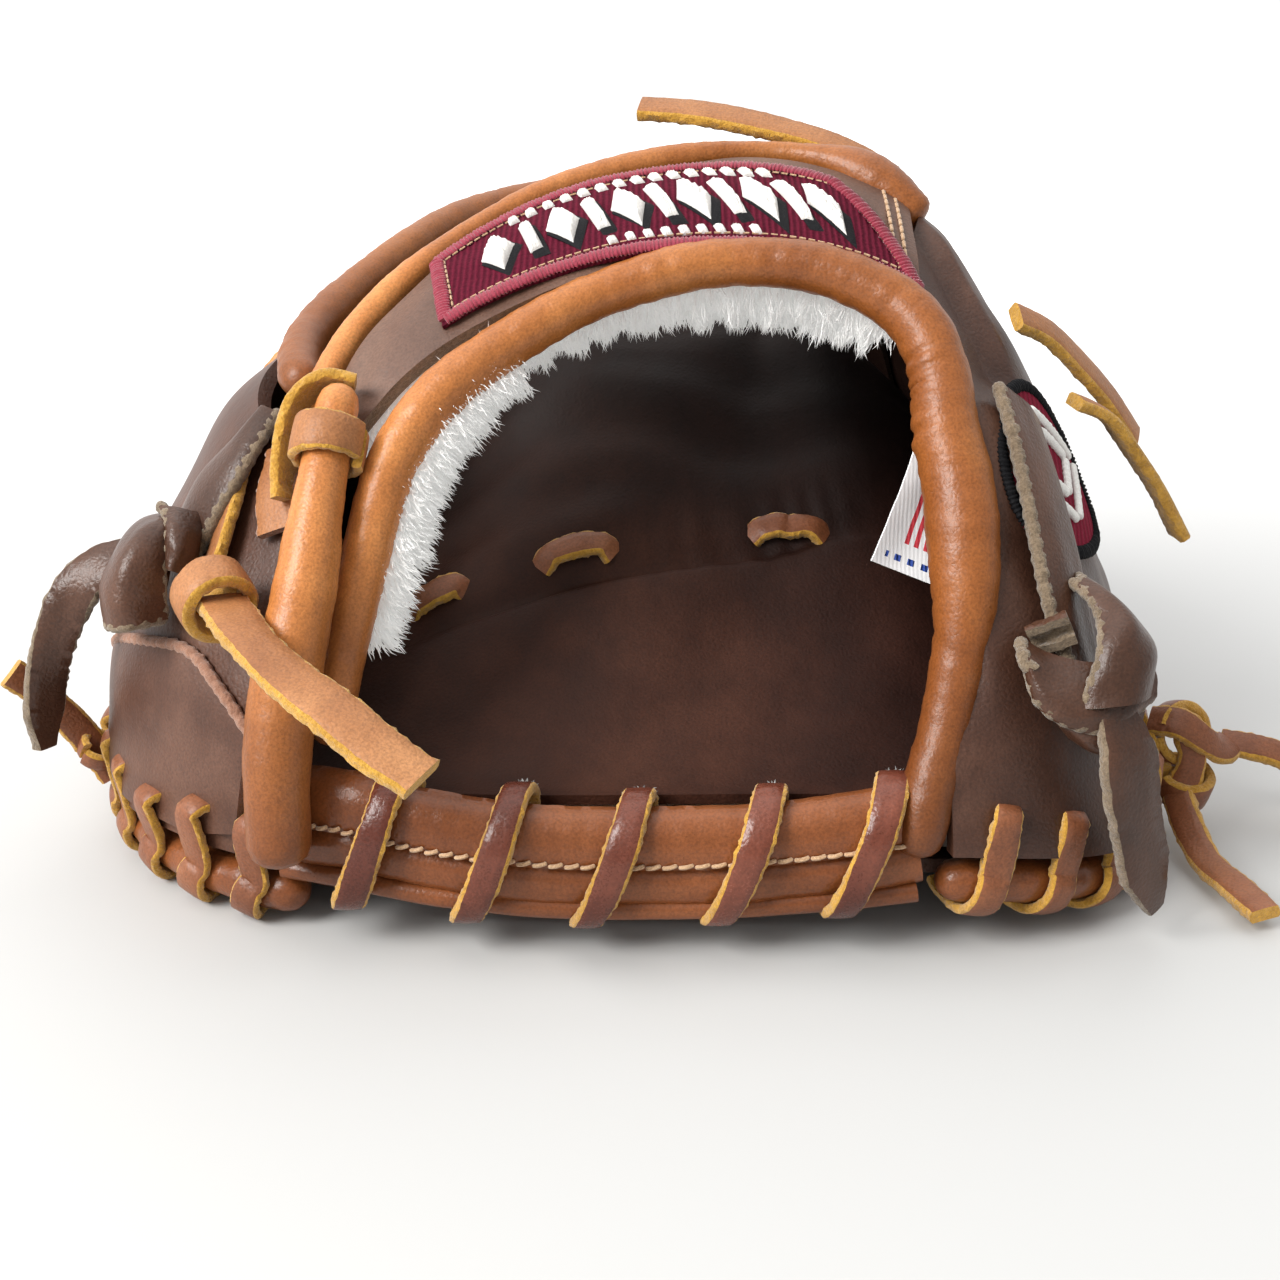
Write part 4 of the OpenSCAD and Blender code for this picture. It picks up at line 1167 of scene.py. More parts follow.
def make_strap():
    """The wrist strap, its edge binding and end seam, its sheepskin and its patch."""
    u, v = np.linspace(0, 1, 200)[:, None], np.linspace(0, 1, 48)[None]
    v = mix(front_reach(u), 1, v)
    wave = 0.35 * waves(u * 150, v * 40, 26, 17)
    obj = slab("strap_hide", strap_point(u, v, wave), strap_point(u, v, wave - LEATHER_T),
               [strap_hide, raw_edge, inner_hide_painted_shade])
    bend(obj, "strap_leather", *STRAP_BEND, "wrist_strap")
    path = curve(BINDING, 220)
    path = dome_at(path[:, 0], path[:, 1], 0.2)
    share = np.linspace(0, 1, len(path))
    r = 2.9 + 0.25 * np.sin(share * 14) + 2.6 * bump(share - 0.93, 0.07)
    creases = crease_run(150, 185, 12, 0.3, 1.2, 0.4, 21)
    obj = sweep("strap_edge_binding", path, circle(1.0, 24), (0, 1, 0), [tan], scale=r,
                relief=roll_skin(23, creases, 0.08), round_ends=2.5)
    bend(obj, "tan_leather", *STRAP_BEND, "strap_binding")
    seams = []
    for k, at in enumerate((0.955, 0.975)):
        for j, v in enumerate(np.arange(0.06, 0.92, 0.085)):
            line = strap_point(np.full(5, at), np.linspace(v, v + 0.055, 5), 0.35 * np.ones(5))
            seams.append(sweep(f"seam_{k}_{j}", line, circle(0.4, 6), (1, 0, 0), [stitch_thread],
                               round_ends=0.3))
    obj = join("strap_end_stitches", seams)
    bend(obj, "rawhide_lace", *STRAP_BEND)
    make_fur()
    make_patch()


FUR_DROP = 3.2
STRAP_HAIRS = 15000
LEG_HAIRS = 4200


def fur_depth(u, v):
    """How far the pile hangs from the strap: thin at its edges, in soft clumps."""
    low = front_reach(u) + 0.03
    edge = np.clip((v - low) / 0.16, 0, 1) ** 0.5 * np.clip((0.78 - v) / 0.25, 0, 1) ** 0.5
    ends = np.clip(u / 0.12, 0.25, 1) * np.clip((1.0 - u) / 0.05, 0.3, 1)
    middle = 8.4 + 3.4 * bump(u - 0.8, 0.22) + 1.5 * bump(u - 0.5, 0.2)
    clumps = 1 + 0.14 * waves(u * 150, v * 40, 13, 33)
    return 4.0 + middle * edge * ends * clumps + 0.8 * waves(u * 150, v * 40, 5, 34)


def fur_down(u, v):
    """The way the pile hangs: into the hand opening, and not back along it."""
    return unit(-dome_normal(*np.moveaxis(strap_xy(u, v), -1, 0)) * np.array([1, 0.1, 1]))


def fur_point(u, v, depth):
    """Place in the pile, depth mm below the face of the strap."""
    return strap_point(u, v, -FUR_DROP) + fur_down(u, v) * (np.asarray(depth) - FUR_DROP)[..., None]


def fur_body():
    """The thick of the pile: a lumpy blanket under the strap, and a lumpy roll down the left leg."""
    u, v = np.linspace(0.0, 0.99, 240)[:, None], np.linspace(0, 1, 44)[None]
    v = mix(front_reach(u) + 0.03, 0.78, v)
    base = slab("fur_blanket", strap_point(u, v, -FUR_DROP), fur_point(u, v, fur_depth(u, v)), [fleece_painted_glow])
    leg = curve(MAIN_ROLL, 300)[18:88:2] + np.array([4.2, 5.2, -0.5])
    fat = np.interp(np.linspace(0, 1, len(leg)), [0, 0.3, 0.75, 1], [2.4, 4.2, 5.6, 5.0])
    roll_part = sweep("fur_leg", leg, circle(1.0, 22), (0, 1, 0), [fleece_painted_glow], scale=fat,
                      relief=lambda s, k: 0.7 * waves(s, 14 * k, 7, 39), round_ends=2.5)
    return base, roll_part, leg, fat


def make_fur():
    """The sheepskin under the strap: its pile, and the fine strands that stand out of it."""
    rng = np.random.default_rng(31)
    base, roll_part, leg, fat = fur_body()
    n = STRAP_HAIRS
    us = rng.uniform(0.0, 0.985, n)
    low = front_reach(us) + 0.03
    vs = low + (0.75 - low) * rng.beta(0.8, 1.9, n)
    edge = 1 - np.clip((vs - low) / 0.12, 0, 1)
    deep = fur_depth(us, vs) - 0.6
    roots = fur_point(us, vs, mix(deep, rng.uniform(3.0, 10, n), edge * (rng.random(n) < 0.7)))
    tuft = 0.5 + 0.5 * waves(us * 260, vs * 30, 9, 35)
    length = (4.2 + 3.4 * tuft) * rng.uniform(0.7, 1.15, n)
    swirl = np.stack([0.5 * waves(us * 300, vs * 80, 11, 36) - 0.2 * (us - 0.5),
                      0.4 * waves(us * 200, vs * 80, 11, 37) - 0.1 - 0.2 * edge, np.full(n, -0.35)], 1)
    way = unit(fur_down(us, vs) * (1 - 0.4 * edge)[:, None] + swirl + rng.normal(0, 0.12, (n, 3)))
    m = LEG_HAIRS
    k = rng.integers(0, len(leg), m)
    turn = rng.uniform(0, 2 * math.pi, m)
    t, side, up = frames(leg, (0, 1, 0))
    out = side[k] * np.cos(turn)[:, None] + up[k] * np.sin(turn)[:, None]
    leg_roots = leg[k] + out * (fat[k] * 0.9)[:, None] + t[k] * rng.normal(0, 0.8, m)[:, None]
    leg_way = unit(out * 0.8 + np.array([0.35, -0.1, -0.75]) + rng.normal(0, 0.14, (m, 3)))
    leg_length = (3.4 + 2.6 * (0.5 + 0.5 * waves(k * 2.4, turn * 3, 8, 38))) * rng.uniform(0.7, 1.15, m)
    roots = np.concatenate([roots, leg_roots])
    tips = roots + np.concatenate([way, leg_way]) * np.concatenate([length, leg_length])[:, None]
    hair = strands("fur_hair", roots, tips, 0.3, fleece_painted_glow, rng, -0.5)
    bend(join("sheepskin", [base, roll_part, hair]), "fleece", *STRAP_BEND, "strap_fur")


PATCH_LEFT = (0.175, 0.215)
PATCH_RIGHT = (1.0, 0.855)
PATCH_LOW = [[0, -0.06], [0.33, -0.25], [0.66, -0.27], [0.86, -0.2], [1, -0.04]]
PATCH_HIGH = [[0, 0.97], [0.33, 0.9], [0.66, 0.78], [0.86, 0.7], [1, 0.64]]


def patch_uv(x, y):
    """Place on the strap for x and y from 0 to 1 over the patch, whose ends both slant."""
    low, high = curve(PATCH_LOW, 60), curve(PATCH_HIGH, 60)
    u = mix(mix(PATCH_LEFT[0], PATCH_LEFT[1], y), mix(PATCH_RIGHT[0], PATCH_RIGHT[1], y), x)
    return u, mix(np.interp(x, low[:, 0], low[:, 1]), np.interp(x, high[:, 0], high[:, 1]), y)


def patch_point(x, y, lift):
    x, y = np.broadcast_arrays(np.asarray(x, float), np.asarray(y, float))
    u, v = patch_uv(x, y)
    return strap_point(u, v, lift)


def make_patch():
    """The strap's cloth patch: its thread border, a row of stitches inside that, and the raised motif."""
    x, y = np.linspace(0, 1, 180)[:, None], np.linspace(0, 1, 40)[None]
    wave = 0.25 * waves(x * 130, y * 30, 18, 43)
    obj = slab("patch_cloth", patch_point(x, y, 1.2 + wave), patch_point(x, y, 0.3 + wave), [burgundy])
    long_side, short_side = np.linspace(0, 1, 160), np.linspace(0, 1, 44)
    ring = [(t, 0) for t in long_side] + [(1, t) for t in short_side[1:]]
    ring += [(1 - t, 1) for t in long_side[1:]] + [(0, 1 - t) for t in short_side[1:-1]]
    ring = np.array(ring + ring[:2])
    inset = np.clip(ring, [0.008, 0.045], [0.992, 0.955])
    line = patch_point(inset[:, 0], inset[:, 1], 1.5)
    n = dome_normal(line[:, 0], line[:, 1])
    border = sweep("patch_border", fine_line(line, 0.24), satin_section(3.0, 1.3), fine_line(n, 0.24, line),
                   [border_thread],
                   relief=lambda s, k: 0.16 * np.sign(np.sin(s * 7.5)) + 0.12 * waves(s, 4 * k, 2.2, 45))
    inset = np.clip(ring, [0.026, 0.125], [0.974, 0.875])
    line = fine_line(patch_point(inset[:, 0], inset[:, 1], 1.35), 1.9)
    stitches = []
    for k in range(len(line) - 1):
        p = line[k] * 0.85 + line[k + 1] * 0.15
        q = line[k] * 0.15 + line[k + 1] * 0.85
        stitches.append(sweep(f"patch_stitch_{k}", np.linspace(p, q, 3), circle(0.22, 5), (0, 1, 0),
                              [stitch_thread]))
    whole = join("strap_badge", [obj, border, *stitches])
    bend(whole, "patch_cloth", *STRAP_BEND, "strap_patch")
    make_motif()


def fine_line(points, step, ruler=None):
    """Points evenly spaced along a polyline; ruler is the one to measure along, when points aren't places."""
    ruler = points if ruler is None else ruler
    s = along_path(ruler)
    at = np.arange(0, s[-1], step)
    return np.stack([np.interp(at, s, points[:, i]) for i in range(3)], 1)


def satin_section(w, t):
    g = np.linspace(0, 2 * math.pi, 15)[:-1]
    return np.stack([w / 2 * np.cos(g), t / 2 * np.sin(g)], 1)


def puff(name, cx, cy, wx, wy, height, kind, material, seed, lift=1.3, grow=1.0):
    """A puffy chenille shape on the patch: a diamond or a bar."""
    i, j = np.linspace(-1, 1, 23)[:, None], np.linspace(-1, 1, 23)[None]
    px, py = ((i + j) / 2, (j - i) / 2) if kind == "diamond" else (i, j)
    rise = (1 - np.abs(i) ** 5) * (1 - np.abs(j) ** 5) * height
    rise = rise * (1 + 0.22 * waves(i * 12 + seed, j * 12, 3.4, seed))
    x, y = cx + px * wx * grow, cy + py * wy * grow
    return slab(name, patch_point(x, y, lift + rise), patch_point(x, y, lift - 0.6), [material])


MARKS = 11
DASH_ROWS = [(0.835, 0.2, 0.8, 15, 0.045), (0.155, 0.36, 0.66, 9, 0.035)]


def make_motif():
    """Three rows of plain shapes: a tall row of diamonds and bars between two thin rows of dashes."""
    parts = []
    for k in range(MARKS):
        x = mix(0.14, 0.87, k / (MARKS - 1))
        kind = "diamond" if k % 2 == 0 else "bar"
        wx, wy = (0.038, 0.25) if kind == "diamond" else (0.014, 0.19)
        parts.append(puff(f"shade_{k}", x + 0.006, 0.45, wx, wy, 0.35, kind, black_thread, 300 + k, 1.25,
                          1.22))
        parts.append(puff(f"mark_{k}", x, 0.49, wx, wy, 1.9, kind, white_thread, 320 + k, 1.5))
    for row, (y, x0, x1, many, tall) in enumerate(DASH_ROWS):
        for k in range(many):
            x = mix(x0, x1, k / (many - 1))
            wide = 0.3 * (x1 - x0) / many
            parts.append(puff(f"dash_{row}_{k}", x, y, wide, tall, 0.9, "bar", white_thread, 350 + k))
    obj = join("strap_badge_motif", parts)
    bend(obj, "patch_thread", *STRAP_BEND, "strap_patch_motif")


# ---------------------------------------------------------------- pinky side fittings

def surface_strip(name, plan_points, lift, materials, w, t, seed, tilt=(0, 0, 0)):
    """A lace laid on the back leather, along plan points, at the lift of each in mm."""
    line = curve(plan_points, 60)
    n = dome_normal(line[:, 0], line[:, 1])
    path = on_back(line, lift)
    return strip(name, path, unit(n + np.array(tilt)), materials, w, t, seed, 0.9)


def fold(name, centre, axis, start, r, width, turn, materials, thick, seed):
    """A strap end rolled over on itself: width along axis, r round it, from start through turn degrees."""
    axis = unit(axis)
    e = unit(np.asarray(start, float) - np.dot(start, axis) * axis)
    f = np.cross(axis, e)
    g = np.radians(np.linspace(0, turn, 40))[:, None]
    w = np.linspace(-1, 1, 26)[None]
    share = np.linspace(0, 1, 40)[:, None]
    reach = np.interp(share, np.linspace(0, 1, len(r)), r) + 0.3 * waves(share * 30 + seed, w * 9, 12, seed)
    reach = reach + 0.12 * waves(share * 30, w * 18 + seed, 4, seed + 1)
    spine = np.asarray(centre, float) + axis * (w * width / 2)[..., None]
    out = np.cos(g)[..., None] * e + np.sin(g)[..., None] * f
    outer = spine + out * reach[..., None]
    return face_out(slab(name, outer, spine + out * (reach - thick)[..., None], materials))


def cut_edge(name, path, r, material, seed):
    """The fuzzy face of a thick cut edge, along a line."""
    line = fine_line(np.asarray(path, float), 0.6)
    rng = np.random.default_rng(seed)
    rough = rng.normal(0, 0.07, (len(line), 10)) + 0.12 * np.sin(np.arange(len(line)) * 1.3)[:, None]
    return sweep(name, line, circle(r, 10), (0.31, 0.2, 0.93), [material], relief=lambda s, k: rough,
                 round_ends=r * 0.8)


def leaf(name, left, right, bulge, materials, thick=2.2, seed=1, hold=0.25, raw=("left",)):
    """A flap of strap leather between two edge lines. It swells by bulge, and by its share hold at the start.
    raw names the sides that get a fuzzy cut edge."""
    a, b = curve(left, 36), curve(right, 36)
    t, place = np.linspace(0, 1, 32)[None, :, None], np.linspace(0, 1, 37)[:, None, None]
    swell = np.sin(math.pi * t) ** 0.75 * (hold
                                           + (1 - hold) * np.sin(0.5 * math.pi * np.minimum(1, place * 1.5)))
    grid = a[:, None] * (1 - t) + b[:, None] * t + np.asarray(bulge, float) * swell
    n = unit(np.cross(np.gradient(grid, axis=0), np.gradient(grid, axis=1)))
    n = n * np.sign((n * np.asarray(bulge, float)).sum(-1, keepdims=True).mean())
    grid = grid + n * (0.25 * waves(place[..., 0] * 24 + seed, t[..., 0] * 16, 9, seed))[..., None]
    middle = grid - n * thick / 2
    lines = dict(left=middle[:, 0], right=middle[:, -1], end=middle[-1], start=middle[0])
    parts = [face_out(slab(name, grid, grid - n * thick, materials))]
    parts += [cut_edge(f"{name}_{side}", lines[side], thick * 0.55, raw_edge, seed + 3) for side in raw]
    return join(name, parts)


def on_back(plan_points, lift):
    """Points over the back leather, lift mm off it, for plan points."""
    x, y = np.asarray(plan_points, float).T
    lift = np.interp(np.linspace(0, 1, len(x)), np.linspace(0, 1, len(lift)), lift)
    return dome_at(x, y) + dome_normal(x, y) * lift[:, None]


def face_out(obj):
    """Turns a slab's faces outward if it came out inside out."""
    mesh = obj.data
    co = np.zeros(len(mesh.vertices) * 3)
    mesh.vertices.foreach_get("co", co)
    co = co.reshape(-1, 3)
    mesh.calc_loop_triangles()
    tri = np.array([t.vertices[:] for t in mesh.loop_triangles])
    a, b, c = co[tri[:, 0]], co[tri[:, 1]], co[tri[:, 2]]
    if (np.cross(b - a, c - a) * (a - co.mean(0))).sum() < 0:
        mesh.flip_normals()
    return obj


def make_pinky_fittings():
    """The dark loop strap and its knot, the tie on the pinky roll, the tan knot, and a rim lace's end."""
    left = on_back([[-76, 59], [-81, 56.5], [-88, 55.5], [-95, 54]], [3.2, 4.2, 4.8, 3.0])
    right = on_back([[-72, 55], [-74.5, 50.5], [-78, 46], [-83.5, 43.5], [-91, 43]],
                    [2.6, 4.0, 5.0, 4.4, 2.5])
    upper = leaf("pinky_strap_upper", left, right, dome_normal(-82, 50) * 1.6, LOOP_STRAP, 2.6, 401, 1.0,
                 ("right",))
    tail = strip("pinky_strap_tail", [[-104, 47, 66], [-110, 46.5, 64.5], [-116, 45, 59.5], [-120.5, 44, 51],
                                      [-123.5, 43, 42], [-125, 42, 33], [-125.5, 41.5, 26]],
                 [[-0.2, -0.6, 0.8], [0.1, -0.7, 0.7], [0.5, -0.75, 0.4], [0.8, -0.55, 0.2],
                  [0.88, -0.45, 0.05],
                  [0.9, -0.42, 0.0], [0.9, -0.42, 0.0]],
                 LOOP_STRAP, 10, 2.3, 402, 0.9, ([0, 0.85, 1], [1, 0.85, 0.45]))
    keep(join("pinky_strap", [upper, tail]), FINGER, "walnut_leather", "pinky_loop_strap")
    barrel = leaf("pinky_knot_barrel", [[-94, 47, 76], [-102, 46, 74], [-109.5, 44, 63], [-108, 39, 55.4]],
                  [[-91.5, 43, 76], [-93.2, 35, 70.5], [-93.6, 32, 63.5], [-93.7, 33, 57.5]],
                  [-1.5, -9.5, 1.5], LOOP_STRAP, 2.2, 5, 0.35, ("right", "end"))
    core = leaf("pinky_knot_core", [[-99, 46, 72], [-105, 45, 66], [-106, 42, 59], [-105, 40, 55.5]],
                [[-93, 44, 72], [-94, 38, 66], [-95, 36, 60], [-95, 36, 56.4]], [-1, -5.5, 0.5], LOOP_STRAP,
                2.2, 7, 0.4, ("end",))
    lap = leaf("pinky_knot_lap", [[-97, 44, 78], [-94.5, 39, 76.2], [-93.8, 35.5, 72.5], [-94.2, 34.5, 68]],
               [[-88, 46, 76], [-87.5, 41, 73], [-88, 38, 69], [-90, 37, 65]], [0.5, -3.2, 1.0], LOOP_STRAP,
               2.2, 8, 0.8, ("left",))
    keep(join("pinky_knot", [barrel, core, lap]), FINGER, "walnut_leather", "pinky_loop_knot")

    top = np.array(PINKY_ROLL[-2])
    d = unit(np.array(PINKY_ROLL[-1]) - np.array(PINKY_ROLL[-4]))
    ring = wrap_ring("tie_ring", top - d * 0.5, d, 6.3, 8.0, 1.9, PALE_LACE, 411)
    leg = strip("tie_leg", [[-56, 46, 102], [-62, 45.5, 103], [-67, 44, 99], [-69, 41, 93], [-69.5, 37.5, 87],
                            [-69, 34.5, 81.5]],
                [[-0.1, 0.5, 0.85], [-0.3, 0.5, 0.8], [-0.75, 0.55, 0.3], [-0.85, 0.5, 0], [-0.85, 0.5, 0],
                 [-0.85, 0.5, 0]],
                DARK_LACE, 7.0, 2.2, 412, 0.8)
    keep(join("roll_tie", [ring, leg]), FINGER, "rawhide_lace", "roll_tie_lace")

    centre = np.array([-80.6, 20.5, 66])
    axis = unit([0.52, -0.78, -0.34])
    band = wrap_ring("tie_knot_band", centre, axis, 6.2, 8.2, 2.6, PALE_LACE, 421, turn=340, start=150)
    tuck = wrap_ring("tie_knot_tuck", centre - axis * 4.0, axis, 4.6, 5.5, 2.2, PALE_LACE, 422)
    keep(join("pinky_tie", [band, tuck]), FINGER, "tan_leather", "pinky_tie_knot")
    feed = surface_strip("tie_feed", [[-79, 60], [-79.8, 53], [-81, 45], [-83, 38], [-85, 33]],
                         [0.6, 1.4, 1.6, 2.4, 4.0],
                         PALE_LACE, 6.2, 2.4, 423, tilt=(-0.6, 0, 0))
    keep(feed, FINGER, "rawhide_lace")
    flap = surface_strip("roll_side_flap", [[-70, 47], [-70.5, 42.5], [-70.5, 38], [-70, 34.5]],
                         [1.2, 1.6, 1.8, 1.4], [lace_tan, raw_tan], 9.5,
                         2.0, 424)
    keep(flap, FINGER, "tan_leather")
    low = strip("pinky_rim_end", [[-117.5, 57, 12], [-121, 56, 20], [-125, 53.5, 28], [-129, 51, 34.5],
                                  [-133.5, 48.5, 40]],
                [[0.3, -0.9, 0.3], [0.35, -0.9, 0.3], [0.45, -0.85, 0.35], [0.45, -0.85, 0.35],
                 [0.45, -0.85, 0.35]],
                DARK_LACE, 6.6, 2.6, 425, 0.8)
    loop = wrap_ring("pinky_rim_loop", [-119.5, 55, 19.5], [0.5, -0.3, 0.8], 3.4, 4.2, 1.8, DARK_LACE, 426)
    keep(join("pinky_rim_end_lace", [low, loop]), FINGER, "rawhide_lace", "pinky_rim_lace")


def wrap_ring(name, centre, axis, r, width, thick, materials, seed, turn=352, start=0.0):
    """A flat lace wrapped once round an axis, its grain side out."""
    axis = unit(axis)
    e = unit(np.cross(axis, UP))
    f = np.cross(axis, e)
    g = np.radians(np.linspace(start, start + turn, 30))[:, None]
    out = np.cos(g) * e + np.sin(g) * f
    path = np.asarray(centre, float) + out * r + axis * np.linspace(-0.6, 0.6, 30)[:, None]
    return strip(name, path, out, materials, width, thick, seed, 0.9)


# ---------------------------------------------------------------- thumb side fittings

PATCH_MID = np.array([81.0, 45.0])
PATCH_R = 19.0


def badge_point(x, y, lift):
    """Place on the thumb's back for x and y from the middle of its round patch."""
    n = dome_normal(*PATCH_MID)
    e = unit(np.array([-n[1], n[0], 0.0]))
    f = np.cross(n, e)
    px = PATCH_MID[0] + x * e[0] + y * f[0]
    py = PATCH_MID[1] + x * e[1] + y * f[1]
    return dome_at(px, py) + dome_normal(px, py) * lift


def make_badge():
    """The thumb's round patch, with a thread border and two nested squares of plain bars."""
    i, j = np.linspace(-1, 1, 41)[:, None], np.linspace(-1, 1, 41)[None]
    x, y = i * np.sqrt(1 - j * j / 2) * (PATCH_R - 1), j * np.sqrt(1 - i * i / 2) * (PATCH_R - 1)
    cloth_part = face_out(slab("badge_cloth", badge_point(x, y, 1.5), badge_point(x, y, 0.4), [badge_red]))
    g = np.linspace(0, 2 * math.pi, 500)
    line = badge_point((PATCH_R - 1.3) * np.cos(g), (PATCH_R - 1.3) * np.sin(g), 1.5)
    border = sweep("badge_border", line, satin_section(2.6, 1.5), dome_normal(line[:, 0], line[:, 1]),
                   [black_thread],
                   relief=lambda s, k: 0.14 * np.sign(np.sin(s * 7)) + 0.1 * waves(s, 4 * k, 2.2, 55))
    keep(join("thumb_badge", [cloth_part, border]), THUMB, "patch_cloth", "thumb_patch")
    parts = []
    for k in range(4):
        for m, reach in enumerate((11.5, 6.5)):
            a, b = np.radians(90 * k + 6), np.radians(90 * k + 84)
            t = np.linspace(0, 1, 30)
            px = reach * (np.cos(a) * (1 - t) + np.cos(b) * t)
            py = reach * (np.sin(a) * (1 - t) + np.sin(b) * t)
            line = badge_point(px, py, 1.9)
            parts.append(sweep(f"badge_line_{k}_{m}", line, satin_section(2.3, 1.5),
                               dome_normal(line[:, 0], line[:, 1]),
                               [white_thread], relief=lambda s, k: 0.12 * waves(s * 3, 4 * k, 2.4, 57),
                               round_ends=0.6))
    keep(join("thumb_badge_motif", parts), THUMB, "patch_thread", "thumb_patch_motif")


def make_thumb_fittings():
    """The round patch, the dark loop strap and its folded knot, the woven label and the knot at the rim."""
    make_badge()
    left = on_back([[68, 44], [69.5, 38], [71.5, 32], [73.2, 26.5], [75, 21.5], [78.5, 18.5], [83, 17]],
                   [4.2, 5, 5.2, 5, 5, 5, 6])
    right = on_back([[77, 47], [80, 40], [83, 33], [85, 27], [87, 23], [89, 20.5], [91, 19]],
                    [3.2, 3.4, 3.2, 3.2, 3.4, 3.6, 4.5])
    upper = leaf("thumb_strap_upper", left, right, dome_normal(79, 32) * 0.8, LOOP_STRAP, 2.6, 501, 1.0)
    lower = strip("thumb_strap_tail", [[86, 8, 52], [89.5, 3.5, 43], [91.5, 2.5, 33], [94.5, 3.5, 22],
                                       [98, 5.5, 12], [99.5, 7, 7.5]],
                  [[0.45, -0.85, 0.25]] * 6, LOOP_STRAP, 13, 2.4, 502, 0.9,
                  ([0, 0.3, 0.75, 1], [0.5, 1, 1, 0.3]))
    keep(join("thumb_strap", [upper, lower]), THUMB, "walnut_leather", "thumb_loop_strap")
    big = leaf("thumb_knot_big", [[81.6, 22, 69], [84.6, 15.5, 66.4], [84.2, 7.5, 60.5], [80.5, 3.5, 50.5]],
               [[85, 27, 69], [91, 22, 65], [97.5, 19, 57], [96.5, 14.5, 49.5]], [2.2, -5.5, 1.5], LOOP_STRAP,
               2.2, 11, 0.4, ("left", "start"))
    cup = leaf("thumb_knot_cup", [[71.5, 13.5, 60.5], [77, 12, 58], [84, 10.5, 57], [91, 13, 56.5],
                                  [97, 17, 55]],
               [[70.8, 9.5, 56], [72.7, 5.5, 50.4], [79.9, 3.2, 46.2], [88, 5.2, 45.2], [96.5, 12, 48.7]],
               [0, -3.4, -0.6], LOOP_STRAP, 2.4, 13, 1.0, ("right", "start"))
    under = leaf("thumb_knot_under", [[73.5, 9, 52], [80, 7, 50], [88, 8, 49], [95, 13, 51]],
                 [[80, 8, 42.5], [84.5, 6.2, 40.5], [88.5, 6.2, 40], [93, 10, 42]], [0, -3, -0.5],
                 [loop_hide], 2.2, 15, 1.0, ())
    small = fold("thumb_knot_small", [76.5, 13.5, 61.2], [0.88, -0.15, 0.42], [0.1, -0.3, 0.9],
                 [3.0, 3.5, 3.8], 8, -190, LOOP_STRAP,
                 thick=1.8, seed=17)
    keep(join("thumb_knot", [big, cup, under, small]), THUMB, "walnut_leather", "thumb_loop_knot")
    make_label()
    make_rim_knot()


LABEL_TOP = np.array([[57.0, 46, 96], [66, 48, 92]])
LABEL_BOTTOM = np.array([[46.5, 38, 68], [60, 40, 62]])
LABEL_ROWS = 49
LABEL_COLS = 39


def make_label():
    """A small woven label, sewn in behind the roll, that hangs with plain stripes on it."""
    i = np.linspace(0, 1, LABEL_ROWS + 1)[:, None, None]
    j = np.linspace(0, 1, LABEL_COLS + 1)[None, :, None]
    grid = mix(mix(*LABEL_TOP, j), mix(*LABEL_BOTTOM, j), i)
    n = unit(np.cross(LABEL_BOTTOM[0] - LABEL_TOP[0], LABEL_TOP[1] - LABEL_TOP[0]))
    wave = 1.1 * np.sin(i * 4 + j * 3) * i + 0.25 * waves(i[..., 0] * 30, j[..., 0] * 14, 9, 61)[..., None]
    grid = grid + n * wave
    obj = face_out(slab("label", grid, grid - n * 0.5, [label_white]))
    for m in (label_red, label_blue):
        obj.data.materials.append(m)
    for f in obj.data.polygons[:LABEL_ROWS * LABEL_COLS]:
        row, col = divmod(f.index, LABEL_COLS)
        if 12 < row < 40 and 14 < col < 34 and (col // 3) % 2:
            f.material_index = 1
        if (4 < row < 8 or 43 < row < 46) and 5 < col < 34 and (col // 4) % 2:
            f.material_index = 2
    keep(obj, THUMB, "label_cloth", "woven_label")


def make_rim_knot():
    ring_a = wrap_ring("rim_knot_a", [119.5, 58, 22], [0.35, -0.85, 0.35], 6.2, 5.2, 2.2, DARK_LACE, 601,
                       turn=335)
    ring_b = wrap_ring("rim_knot_b", [120.5, 54, 12], [0.1, -0.35, 0.95], 5.0, 7.0, 2.2, DARK_LACE, 602,
                       turn=340)
    cross = strip("rim_knot_cross", [[113, 58, 25], [118, 54, 26], [124, 53, 22], [128, 55, 19.5],
                                     [131, 59, 19]],
                  [[0, -0.7, 0.7], [0, -0.8, 0.6], [0.1, -0.8, 0.6], [0.1, -0.7, 0.7], [0.1, -0.6, 0.8]],
                  DARK_LACE,
                  6.8, 2.4, 603, 0.9)
    drop = strip("rim_knot_drop", [[120, 55, 24], [121, 52.5, 19], [120, 51.5, 14], [118.5, 50.5, 11]],
                 [[0.2, -0.95, 0.1], [0.2, -0.95, 0.1], [0, -0.95, 0.2], [-0.3, -0.6, 0.7]], DARK_LACE, 6.2,
                 2.4, 604, 0.9)
    keep(join("rim_tie", [ring_a, ring_b, cross, drop]), THUMB, "rawhide_lace", "rim_lace_knot")


# ---------------------------------------------------------------- web

WEB_DEPTH = 3.8
WEB_LACE_SPAN = 14.0


